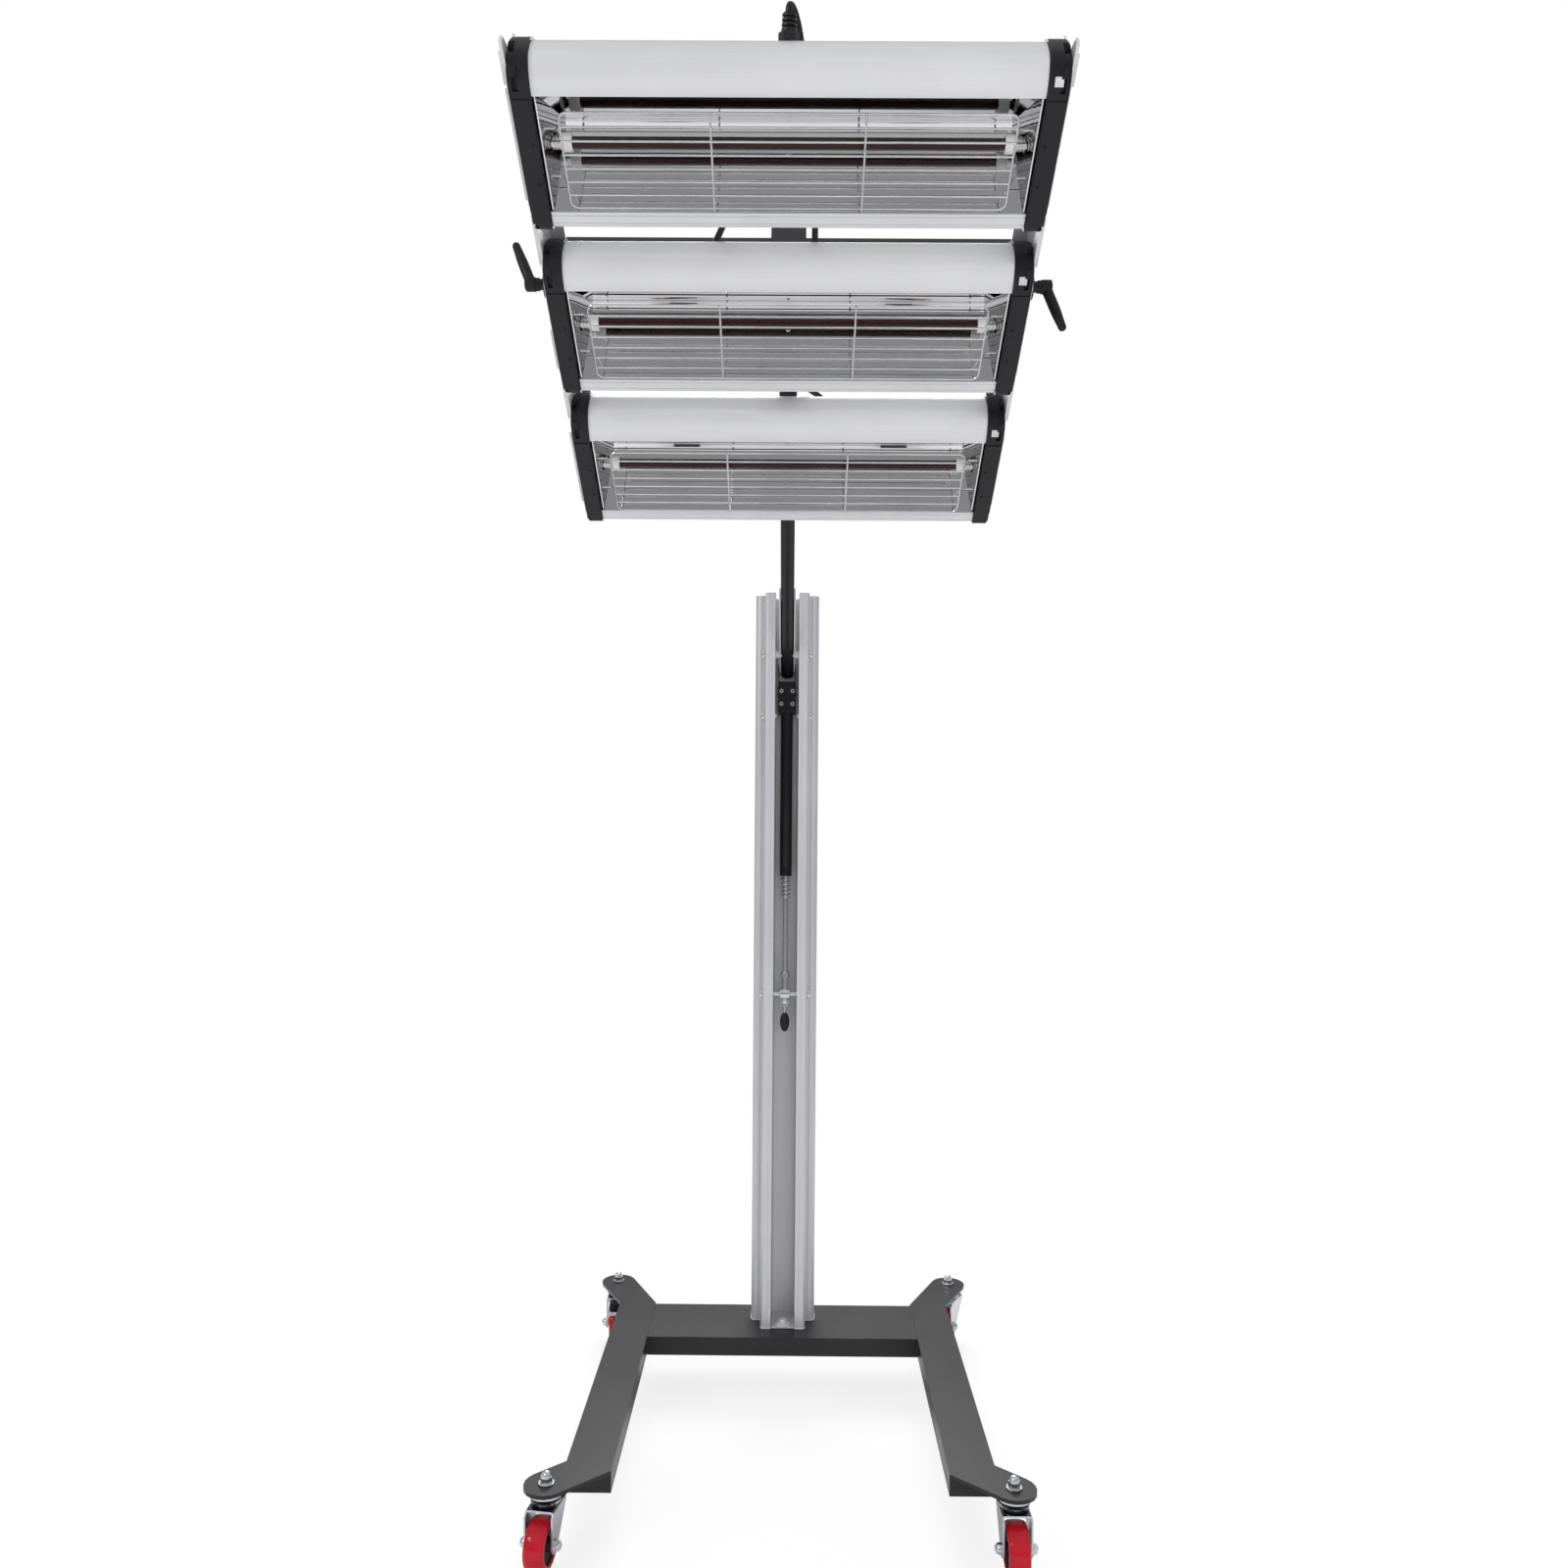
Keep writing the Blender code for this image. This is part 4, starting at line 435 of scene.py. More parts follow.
# each castor's name, side, place along the stand and turn
castorPlaces = (("front_left", -1, -castor["front"], 9.0), ("front_right", 1, -castor["front"], 0.0),
                ("back_left", -1, castor["back"], -4.0), ("back_right", 1, castor["back"], 30.0))


def domedNut(across, height, dome, start):
    # hexagon with a chamfered top under a round dome, standing on the level of its start
    top = start + height
    hexagon = turned([(across, start), (across, start + height * 0.86), (across * 0.9, top)], 6)
    curve = arc((0, top), (dome, dome), 0, 90, 8)[1:-1]
    return merged(hexagon, turned([(dome, start + height * 0.9), (dome, top)] + curve + [(0, top + dome)]))


def stemMesh():
    washerLow = base["top"] + stand["gap"]
    nutLow = washerLow + castor["washerHeight"]
    washer = rod(castor["washer"], washerLow, nutLow, 48)
    nut = domedNut(castor["nut"], castor["nutHeight"], castor["dome"], nutLow)
    high, low = base["top"] - base["tab"] - stand["gap"], castor["forkTop"] - 0.0025
    raceLow = high - castor["upperRaceHeight"]
    wide = castor["upperRace"]
    race = turned([(wide * 0.93, high), (wide, high - 0.0012), (wide, high - 0.0035), (wide * 0.985, raceLow),
                   (castor["pin"], raceLow), (castor["pin"], low)], 64)
    stem = rod(castor["stem"], high - 0.001, washerLow + 0.001)
    return merged(washer, race, stem, nut)


def cheekOutline():
    boss = arc((-castor["trail"], castor["wheel"]), (castor["boss"], castor["boss"]), 180, 325, 16)
    top, sheet = castor["forkTop"], castor["sheet"]
    return ([(-castor["trail"] - castor["boss"], top - 3 * sheet), (-castor["forkFront"], top - sheet),
             (castor["forkBack"], top - sheet), (castor["forkBack"], top - 3 * sheet)] + boss[::-1])


def forkMesh():
    half, sheet, top, bend = castor["forkWidth"] / 2, castor["sheet"], castor["forkTop"], castor["bend"]
    centre, foot = (half - bend, top - bend), top - 4 * sheet
    outer = [(half, foot)] + arc(centre, (bend, bend), 0, 90, 5)
    inner = arc(centre, (bend - sheet, bend - sheet), 90, 0, 5) + [(half - sheet, foot)]
    section = outer + mirrored(outer) + mirrored(inner) + inner
    crown = loft([[(x, y, z) for x, z in section] for y in (-castor["forkFront"], castor["forkBack"])])
    cheeks = [sideways(cheekOutline(), *sorted((side * half, side * (half - sheet)))) for side in (-1, 1)]
    wide, high = castor["lowerRace"], castor["lowerRaceHeight"]
    race = turned([(wide * 0.86, top - sheet / 2), (wide * 0.88, top + high * 0.25),
                   (wide, top + high * 0.45), (wide, top + high * 0.8), (wide * 0.93, top + high)], 64)
    # the race and the top of the crown under it get the darker zinc
    return twoFinishes(merged(worked(crown, "UNION", *cheeks), race), "forkZinc", "raceZinc",
                       lambda face: face.center.z > top - sheet / 2 and abs(face.center.x) < half - sheet)


def axleMesh():
    # a round-headed bolt through the fork with a washer and a lock nut on the other side
    start, thick, head = castor["forkWidth"] / 2 - castor["sheet"] / 2, castor["axle"], castor["axleHead"]
    face = start + castor["sheet"] / 2 + stand["gap"]
    dome = arc((0, face + 0.0010), (head, castor["axleHeadLength"] + 0.0012), 0, 90, 10)[1:-1]
    bolt = turned([(thick, 0), (thick, start), (head, start), (head, face + 0.0010)] + dome
                  + [(0, face + castor["axleHeadLength"] + 0.0022)], 48)
    washer = turned([(thick, 0), (thick, start), (head * 1.12, start), (head * 1.12, face + 0.0012),
                     (head * 0.9, face + 0.0014)], 48)
    nut = turned([(head * 0.98, face), (head * 0.98, face + 0.0044), (head * 0.88, face + 0.0050),
                  (head * 0.70, face + 0.0052), (head * 0.66, face + 0.0064),
                  (0.0036, face + 0.0066), (0.0032, face + 0.0072)], 6)
    axle = merged(flippedX(acrossX(bolt)), acrossX(merged(washer, nut)))
    return shifted(axle, (0, -castor["trail"], castor["wheel"]))


wheel = {"rim": 0.0225, "shoulder": 0.0240, "fullness": 0.62,
         "web": 0.0042, "webFrom": 0.0105, "webTo": 0.0205, "bore": 0.00425, "hub": 0.0072, "hubHalf": 0.0152}


def wheelMeshes():
    half, rise, full = castor["tread"] / 2, castor["wheel"] - wheel["shoulder"], wheel["fullness"]
    right = [(wheel["rim"], half - 0.0006), (wheel["shoulder"], half)]
    for step in range(1, 12):   # the tread is crowned, fuller than an ellipse
        a = math.pi / 2 * step / 12
        right.append((wheel["shoulder"] + rise * math.sin(a) ** full, half * math.cos(a) ** full))
    right.append((castor["wheel"], 0))
    tread = turnedRing(right + [(r, -h) for r, h in right[-2::-1]], 72)
    web, end = half - wheel["web"], wheel["hubHalf"]
    hubEdge = [(wheel["bore"], end), (wheel["hub"], end), (wheel["hub"] + 0.0006, end - 0.0006),
               (0.0085, web + 0.0012), (wheel["webFrom"], web), (wheel["webTo"], web),
               (0.0224, half - 0.0012)]
    hub = turnedRing(hubEdge + [(r, -h) for r, h in hubEdge[::-1]], 72)
    return acrossX(tread), acrossX(hub)


def makeCastors():
    stem, fork, axleBolt = stemMesh(), forkMesh(), axleMesh()
    tread, hub = wheelMeshes()
    for place, side, along, yaw in castorPlaces:
        swivel = standSpot @ spot(side * castor["spread"], along, 0, 0, -yaw)
        axle = swivel @ spot(0, -castor["trail"], castor["wheel"])
        addPiece(f"{place}_stem", stem, "zincPlate", "base", swivel, [f"{place}_castor_stem"], 0.00035)
        addPiece(f"{place}_fork", fork, "forkZinc", f"{place}_fork", swivel, [f"{place}_castor_fork"], 0.0004)
        addPiece(f"{place}_axle", axleBolt, "zincPlate", f"{place}_fork", swivel)
        addPiece(f"{place}_tread", tread, "wheelRed", f"{place}_wheel", axle, [f"{place}_wheel"])
        addPiece(f"{place}_hub", hub, "darkHub", f"{place}_wheel", axle)
        if place.startswith("back"):
            dressNode(f"{place}_brake_pedal", "zincPlate", 0.0005)


# Column

column = {"low": 0.0953, "top": 1.268, "width": 0.102, "back": 0.036, "corner": 0.008, "wall": 0.004,
          "rib": 0.070, "ribReach": 0.032, "ribCorner": 0.004, "channel": 0.0374, "channelCorner": 0.0015,
          "lipLine": 0.006,
          "groove": 0.002, "grooveDepth": 0.001, "grooveAt": 0.0395,
          # the pale rim of painted glint round the column's foot
          "glintRim": 0.0022, "glintWider": 1.02, "glintDeeper": 1.03, "glintMiddle": 0.002}
stopScrew = {"height": 1.0725, "inner": 0.0165, "thick": 0.0045, "outer": 0.0353, "head": 0.0062,
             "socket": 0.0028}


def columnOutline():
    rib, half = column["rib"] / 2, column["width"] / 2
    corner, ribCorner = column["corner"], column["ribCorner"]
    inner, lipFront = column["channel"] / 2, -column["ribReach"]
    line = inner + column["lipLine"]
    lip = [(inner, lipFront + 0.0006), (inner + 0.0006, lipFront)]
    lips = [(line - 0.0005, lipFront), (line, lipFront + 0.0005), (line + 0.0005, lipFront)]   # a fine line
    front = arc((rib - ribCorner, lipFront + ribCorner), (ribCorner, ribCorner), -90, 0, 8)
    step = [(rib, -0.0006), (rib + 0.0006, 0)]
    groove = [(column["grooveAt"] - column["groove"] / 2, 0), (column["grooveAt"], column["grooveDepth"]),
              (column["grooveAt"] + column["groove"] / 2, 0)]
    near = arc((half - corner, corner), (corner, corner), -90, 0, 10)
    far = arc((half - corner, column["back"] - corner), (corner, corner), 0, 90, 10)
    rear = [(0.022, column["back"]), (0.021, column["back"] - 0.001), (0.020, column["back"])]
    return lip + lips + front + step + groove + near + far + rear


def makeColumn():
    half = columnOutline()
    floor = column["back"] - column["wall"]
    corner, wall = column["channelCorner"], column["channel"] / 2
    inside = [(-wall, floor - corner), (corner - wall, floor), (wall - corner, floor), (wall, floor - corner)]
    body = upright(half + mirrored(half) + inside, column["low"], column["top"])
    inner = wall + column["wall"]
    ribInner, flange = column["rib"] / 2 - column["wall"], column["width"] / 2 - column["wall"]
    lipBack = column["wall"] - column["ribReach"]
    cells = []
    for side in (-1, 1):
        cell = [(inner, lipBack), (ribInner, lipBack), (ribInner, column["wall"]), (flange, column["wall"]),
                (flange, floor), (inner, floor)]
        cells.append(upright([(side * x, y) for x, y in cell], column["low"] - 0.01, column["top"] + 0.01))
    addPiece("column_extrusion", worked(body, "DIFFERENCE", *cells), "columnSatin", "base", standSpot,
             ["column"], 0.0004)
    makeFootBolt(floor, wall)
    makeFootGlint(floor, wall)
    for name, height, radius in (("pivot_pin", stand["pivotHeight"], pins["pivot"]),
                                 ("lower_pin", stand["lowerPinHeight"], pins["lower"])):
        addPiece(f"{name}_bar", pinMesh(radius), "zincPlate", "base",
                 standSpot @ spot(0, -stand["pinOffset"], height), [name], 0.0003)
    stopSpot = standSpot @ spot(0, -stand["pinOffset"], stopScrew["height"])
    start, wide, socket = stopScrew["outer"], stopScrew["head"], stopScrew["socket"]
    for side, hand in ((-1, "left"), (1, "right")):
        inward = rod(stopScrew["thick"], stopScrew["inner"], wall + 0.001, 32)
        outward = turned([(wide, start), (wide, start + 0.0029), (wide - 0.0012, start + 0.0047),
                          (socket, start + 0.0049), (socket, start + 0.0033)])
        screw = acrossX(merged(inward, outward))
        screw = screw if side > 0 else flippedX(screw)
        addPiece(f"{hand}_stop_screw", screw, "zincPlate", "base", stopSpot, edge=0.0002)


footBolt = {"plate": 0.0030, "edge": 0.0305, "skirt": 0.0130, "skirtTop": 0.0088, "rise": 0.0034,
            "head": 0.0072, "height": 0.0044, "behindEdge": 0.0138}


def makeFootBolt(floor, wall):
    # a low flanged bolt on the plate in the channel's foot
    gap = stand["gap"]
    low = base["top"] + gap
    high = low + footBolt["plate"]
    plate = block((gap - wall, -footBolt["edge"], low), (wall - gap, floor - gap, high))
    rise = high + footBolt["rise"]
    skirt = turned([(footBolt["skirt"], high - 0.001), (footBolt["skirt"], high + 0.0010),
                    (footBolt["skirtTop"], rise)])
    wide, top = footBolt["head"], rise + footBolt["height"]
    head = turned([(wide, rise - 0.001), (wide, top - 0.0012), (wide * 0.84, top)], 6)
    bolt = shifted(merged(skirt, head), (0, footBolt["behindEdge"] - footBolt["edge"], 0))
    addPiece("column_foot_plate", plate, "columnSatin", "base", standSpot, ["column_foot"], 0.0008)
    addPiece("column_foot_bolt", bolt, "lampSatin", "base", standSpot, edge=0.0003)


def makeFootGlint(floor, wall):
    # a pale rim round the column's foot, just proud of the column: a painted glint along its sawn bottom edge
    low = base["top"] + stand["gap"]
    half = columnOutline()
    rim = upright(half + mirrored(half), low, low + column["glintRim"])
    hollow = upright([(-wall, -0.05), (wall, -0.05), (wall, floor), (-wall, floor)], low - 0.01, low + 0.01)
    rim = worked(rim, "DIFFERENCE", hollow)
    for vertex in rim.vertices:
        vertex.co.x *= column["glintWider"]
        vertex.co.y = column["glintMiddle"] + (vertex.co.y - column["glintMiddle"]) * column["glintDeeper"]
    addPiece("column_foot_glint", rim, "lampSatin", "base", standSpot, edge=0.0008)


pins = {"pivot": 0.0050, "lower": 0.0040, "head": 0.0066, "headLength": 0.0050, "socket": 0.0030,
        "socketDepth": 0.0016}


def pinMesh(radius):
    inside = column["rib"] / 2 + stand["gap"]
    wide, socket, end = pins["head"], pins["socket"], inside + pins["headLength"]
    head = [(wide, inside), (wide, end - 0.0018), (wide - 0.0012, end), (socket, end),
            (socket, end - pins["socketDepth"])]
    profile = [(r, -x) for r, x in head[::-1]] + [(radius, -inside), (radius, inside)] + head
    return acrossX(turned(profile))


# Arm

arm = {"reach": 0.665, "tail": 0.0450, "radius": 0.0102, "wall": 0.0020, "clampSide": 0.044,
       "edge": 0.0008, "clampEdge": 0.0020}


def makeArm():
    top, tail = arm["clampSide"] / 2 + stand["gap"] - arm["reach"], arm["tail"]
    wide, bore = arm["radius"], arm["radius"] - arm["wall"]
    tube = turnedRing([(wide, top), (wide, tail), (bore, tail), (bore, top)], 72)
    addPiece("arm_bar", shifted(tube, turn=-90), "armBlack", "arm", armSpot, ["arm_tube"], 0.0004)
    dressNode("arm_saddle", "columnSatin", 0.0004)
    dressNode("arm_clamp", "armBlack", arm["clampEdge"])
    for node in ("crossbar", "left_yoke_arm", "right_yoke_arm"):
        dressNode(node, "armBlack", arm["edge"])


# Strut

strut = {"blockTop": 0.020, "blockLength": 0.052, "blockDepth": 0.021,
         "screw": 0.0034, "screwSpread": 0.0090, "screwPitch": 0.021,
         "tube": 0.0096, "tubeWall": 0.0020, "tubeLength": 0.262, "groove": 0.0135,
         "coil": 0.0073, "coilWire": 0.0010, "coilTurns": 5, "coilPitch": 0.0068, "coilSteps": 32}
shaft = {"radius": 0.0040, "top": 0.150, "collar": 0.0072, "collarFrom": 0.026, "collarTo": 0.0335,
         "eye": 0.0088, "eyeBore": 0.0043, "eyeHalf": 0.0080}
release = {"lug": 0.004, "lugDrop": 0.014, "lugHalf": 0.003, "ear": 0.0051, "bridge": 0.0061, "rivet": 0.0021,
           "wire": 0.0017, "drop": 0.016, "length": 0.031, "width": 0.0075, "depth": 0.0052}


def makeStrut():
    dressNode("strut_fork", "armBlack", 0.0006)
    bottom = -strut["blockTop"] - strut["blockLength"]
    lowScrew = bottom + (strut["blockLength"] - strut["screwPitch"]) / 2
    heads = []
    for hand in (-1, 1):
        for height in (lowScrew, lowScrew + strut["screwPitch"]):
            head = turned([(strut["screw"], 0), (strut["screw"], 0.0022), (strut["screw"] - 0.0004, 0.0026),
                           (0.0016, 0.0026), (0.0016, 0.0012)], 32)
            at = (hand * strut["screwSpread"], 0.0001 - strut["blockDepth"] / 2, height)
            heads.append(shifted(head, at, 90))
    addPiece("strut_fork_screws", merged(*heads), "zincPlate", "strut_upper", strutSpot)
    top = bottom - stand["gap"]
    low = top - strut["tubeLength"]
    wide, bore, groove = strut["tube"], strut["tube"] - strut["tubeWall"], low + strut["groove"]
    tube = turnedRing([(bore, low), (wide - 0.0008, low), (wide, low + 0.001), (wide, groove),
                       (wide - 0.0005, groove + 0.0007), (wide, groove + 0.0015), (wide, top), (bore, top)])
    addPiece("strut_barrel", tube, "armBlack", "strut_upper", strutSpot, ["strut_tube"])
    start = low - stand["gap"] - strut["coilWire"]
    coil = []
    for step in range(strut["coilTurns"] * strut["coilSteps"] + 1):
        turns = step / strut["coilSteps"]
        coil.append((strut["coil"] * math.cos(math.tau * turns), strut["coil"] * math.sin(math.tau * turns),
                     start - strut["coilPitch"] * turns))
    addPiece("bump_coil", swept(coil, strut["coilWire"], 10), "zincPlate", "strut_upper", strutSpot,
             ["bump_spring"])
    makeShaft(strutLine.length + low + shaft["top"])


def makeShaft(top):
    thick, collar, last = shaft["radius"], shaft["collar"], shaft["collarTo"]
    bar = turned([(thick, 0.004), (thick, shaft["collarFrom"]), (collar, shaft["collarFrom"]), (collar, last),
                  (collar - 0.0012, last + 0.0015), (thick, last + 0.0015), (thick, top - 0.001), (0, top)])
    wide, bore, half = shaft["eye"], shaft["eyeBore"], shaft["eyeHalf"]
    eye = acrossX(turnedRing([(bore, half), (wide, half), (wide + 0.0007, half - 0.0007),
                              (wide + 0.0007, 0.0007 - half), (wide, -half), (bore, -half)], 56))
    addPiece("strut_shaft", merged(bar, eye), "zincPlate", "strut_lower", rodSpot, ["strut_rod"], 0.0003)
    reach, drop = release["lug"], release["lugDrop"]
    lug = sideways([(-reach, 0), (reach, 0)] + arc((0, -drop), (reach, reach), 0, -180, 12),
                   -release["lugHalf"], release["lugHalf"])
    addPiece("release_lug", lug, "zincPlate", "strut_lower", rodSpot, edge=0.0003)
    makeRelease(rodSpot @ spot(0, 0, -drop, strutLean))


def makeRelease(at):
    # a clevis on the lug, with a wire down to an oval grip
    reach, ear, foot, drop = release["lug"], release["ear"], -release["bridge"], -release["drop"]
    ears = [sideways(arc((0, 0), (reach, reach), 0, 180, 12) + [(-reach, foot), (reach, foot)],
                     *sorted((side * (ear - 0.0018), side * ear))) for side in (-1, 1)]
    bridge = block((-0.0045, -reach, foot), (0.0045, reach, foot + 0.0018))
    rivet = acrossX(rod(release["rivet"], -ear - 0.0008, ear + 0.0008, 24))
    wire = rod(release["wire"], drop - 0.004, foot + 0.0006, 24)
    addPiece("release_clevis", merged(*ears, bridge, rivet, wire), "zincPlate", "release", at, edge=0.0002)
    half = release["length"] / 2
    grip = turned([(0, drop)] + arc((0, drop - half), (release["width"], half), 80, -80, 22)
                  + [(0, drop - release["length"])])
    grip.transform(Matrix.Scale(release["depth"] / release["width"], 4, (0, 1, 0)))
    addPiece("release_grip", grip, "capPlastic", "release", at, ["release_lever"])


# Lamps: all three share the same meshes

lamp = {"half": 0.245, "opening": 0.117, "topReach": 0.0315, "rim": 0.024, "shoulder": 0.030,
        "backStart": 0.010, "backEnd": 0.095, "lowReach": 0.135, "lowShoulder": 0.035, "lip": 0.005,
        "depth": 0.075, "shell": 0.0022, "ribs": 5, "ribWidth": 0.005, "ribHeight": 0.0025,
        "grooves": (0.1290, 0.1208)}


def lampOutline(inset, grooved=False, steps=14):
    rim, depth, lip = lamp["rim"], lamp["depth"], lamp["lip"]
    start, end = lamp["backStart"], lamp["backEnd"]
    upper = arc((0, rim), (lamp["topReach"] - inset, rim - inset), -90, -180, steps)
    shoulder = arc((start, lamp["shoulder"]),
                   (start + lamp["topReach"] - inset, depth - lamp["shoulder"] - inset), 180, 90, steps)
    lower = arc((end, lamp["lowShoulder"]),
                (lamp["lowReach"] - end - inset, depth - lamp["lowShoulder"] - inset), 90, 0, steps)
    corner = max(lip - inset, stand["gap"])
    front = arc((lamp["lowReach"] - lip, lip), (corner, corner), 0, -90, 5)
    grooves = [(at + across, deep) for at in lamp["grooves"] if grooved
               for across, deep in ((0.0006, 0), (0.0003, 0.0008), (-0.0003, 0.0008), (-0.0006, 0))]
    return upper + shoulder + lower + front + grooves + [(lamp["opening"], inset)]


def housingMesh():
    outer = lampOutline(0, grooved=True)
    place = next(i for i, point in enumerate(outer) if point[0] >= lamp["backStart"])
    ribbed = outer[:place + 1]
    span = (lamp["backEnd"] - lamp["backStart"]) / lamp["ribs"]
    for rib in range(lamp["ribs"]):
        start = lamp["backStart"] + rib * span + lamp["ribWidth"] / 2
        end = start + span - lamp["ribWidth"]
        low = lamp["depth"] - lamp["ribHeight"] / 2
        ribbed += [(start, lamp["depth"]), (start + 0.0004, low), (end - 0.0004, low), (end, lamp["depth"])]
    ribbed += outer[place + 1:]
    return sideways(ribbed + lampOutline(lamp["shell"])[::-1], -lamp["half"], lamp["half"])


cap = {"thick": 0.0212, "proud": 0.0025, "round": 0.0045, "plate": 0.0010, "cornerCut": 0.018,
       "ventReach": 0.0082, "ventDeep": 0.0060, "vents": ((-146, 0.0092), (-167, 0.0112), (-190, 0.0112)),
       "slotAt": -110, "slot": 0.0125, "slotFrom": 0.0100, "slotTo": 0.0050, "slotDeep": 0.0050,
       # where and how big the pale square of painted highlight on the right caps is
       "lugAt": -128, "lug": 0.0085, "glintPatchAt": -117, "glintPatch": 0.0088, "glintPatchIn": 0.0075,
       "screws": (0.045, 0.086), "screwIn": 0.0060}


def capMesh():
    start, proud, corner = lamp["half"] + stand["gap"], cap["proud"], cap["round"]
    face = start + cap["thick"]
    sections = [(start, -proud)]
    for step in range(8):
        a = math.pi / 2 * step / 7
        sections.append((face - corner * (1 - math.sin(a)), corner * (1 - math.cos(a)) - proud))
    body = loft([[(x, y, z) for y, z in lampOutline(inset)] for x, inset in sections])
    notches = [capBlock(at, face - cap["ventReach"], face + 0.004, cap["ventDeep"], length)
               for at, length in cap["vents"]]
    notches.append(capBlock(cap["slotAt"], face - cap["slotFrom"], face - cap["slotTo"], cap["slotDeep"],
                            cap["slot"]))
    lug = capBlock(cap["lugAt"], face - cap["slotFrom"], face - 0.0012, 0.0014, cap["lug"])
    edge, beyond = lamp["lowReach"], 0.001
    plate = block((start + 0.0010, 0.0015, -proud - cap["plate"]),
                  (face - 0.0016, edge - 0.007, 0.001 - proud))
    bevel = upright([(face + beyond, edge - cap["cornerCut"]), (face - 0.0005, edge - cap["cornerCut"]),
                     (face - 0.0085, edge + beyond), (face + beyond, edge + beyond)],
                    -0.01, lamp["depth"] + 0.01)
    return merged(worked(body, "DIFFERENCE", *notches, bevel), lug, plate)


def capBlock(degrees, low, high, deep, length):
    # a block lying across the cap's rounded top, at an angle around it
    reach, depth = lamp["topReach"] + cap["proud"], lamp["rim"] + cap["proud"]
    a = math.radians(degrees)
    piece = block((low, -deep, -length / 2), (high, deep, length / 2))
    lean = math.atan2(math.sin(a) * reach, math.cos(a) * depth)
    return shifted(piece, (0, reach * math.cos(a), lamp["rim"] + depth * math.sin(a)), math.degrees(lean))


def glintPatchMesh():
    # small pale square set in the curve of each right cap: a painted highlight, standing for a lamp's
    # reflection in the glossy cap
    high = lamp["half"] + stand["gap"] + cap["thick"] - cap["glintPatchIn"]
    return capBlock(cap["glintPatchAt"], high - cap["glintPatch"], high, 0.0009, cap["glintPatch"])


def capScrews(side):
    screws = []
    for along in cap["screws"]:
        head = turned([(0.0022, 0), (0.0020, 0.0006), (0.0012, 0.0009), (0.0010, 0.0009),
                       (0.0010, 0.0002)], 24)
        at = (side * (lamp["half"] + cap["screwIn"]), along, -cap["proud"] - cap["plate"])
        screws.append(shifted(head, at, 180))
    return merged(*screws)


reflector = {"sheet": 0.0012, "depth": 0.0600, "overlap": 0.0025, "rim": 0.0028, "end": 0.2440,
             "flare": 0.0155, "back": 0.0100, "bend": 0.0035, "heaterDepth": 0.026, "hole": 0.0092,
             "screwUp": 0.016}
heaterSpot = (0, lamp["opening"] / 2, reflector["heaterDepth"])


def wallSlope():
    # how far a flat wall runs sideways for its depth
    run = lamp["opening"] / 2 + reflector["overlap"] - reflector["back"] / 2
    return run / (reflector["depth"] - reflector["rim"])


def troughRings(sheet, front, steps=10):
    # the end outlines of a folded trough: flat walls, a narrow back and ends that flare to the opening
    middle, back = lamp["opening"] / 2, reflector["back"] / 2
    depth = reflector["depth"] + sheet
    slope = wallSlope()
    fold = Vector((back, depth))
    first = fold + Vector((slope, -1)).normalized() * reflector["bend"]
    last = fold - Vector((reflector["bend"], 0))
    half = [Vector((back + slope * (depth - front), front))]
    for step in range(steps + 1):
        t = step / steps
        half.append(first * (1 - t) ** 2 + fold * 2 * t * (1 - t) + last * t ** 2)
    points = [(middle - x, z) for x, z in half] + [(middle + x, z) for x, z in half[::-1]]
    end = reflector["end"] - reflector["sheet"] + sheet
    lean = reflector["flare"] / reflector["depth"]
    return [[(side * (end - lean * z), y, z) for y, z in points] for side in (-1, 1)]


def reflectorMesh():
    # outer and inner skins with a rim between them, then a round hole in each end for the heater
    bm = bmesh.new()
    skins = []
    for sheet in (reflector["sheet"], 0):
        rings = troughRings(sheet, reflector["rim"])
        left, right = [[bm.verts.new(point) for point in ring] for ring in rings]
        for place in range(len(left) - 1):
            bm.faces.new((left[place], left[place + 1], right[place + 1], right[place]))
        bm.faces.new(left)
        bm.faces.new(right)
        skins.append((left, right))
    (outLeft, outRight), (inLeft, inRight) = skins
    bm.faces.new((outLeft[0], outRight[0], inRight[0], inLeft[0]))
    bm.faces.new((outLeft[-1], outRight[-1], inRight[-1], inLeft[-1]))
    for outer, inner in ((outLeft, inLeft), (outRight, inRight)):
        bm.faces.new((outer[0], inner[0], inner[-1], outer[-1]))
    hole = acrossX(rod(reflector["hole"], -0.26, 0.26, 48), heaterSpot)
    # the pressed ends are not quite flat
    return twoFinishes(worked(meshFrom(bm, "tray"), "DIFFERENCE", hole), "mirrorSheet", "rippledSheet",
                       lambda face: abs(face.normal.x) > 0.9)


def mirrorScrew():
    # small pan head in the middle of the lower wall
    head = turned([(0.0026, -0.0006), (0.0026, 0.0006), (0.0018, 0.0014), (0.0008, 0.0015),
                   (0.0008, 0.0009)], 24)
    slope, up = wallSlope(), reflector["screwUp"]
    along = lamp["opening"] / 2 + reflector["back"] / 2 + slope * up
    return shifted(head, (0, along, reflector["depth"] - up), 180 - math.degrees(math.atan(1 / slope)))


heater = {"radius": 0.0058, "half": 0.2165, "collar": 0.0089, "collarEnd": 0.2275, "socket": 0.0066,
          "end": 0.2446, "clipPitch": 0.0033, "clipDepth": 0.0009}


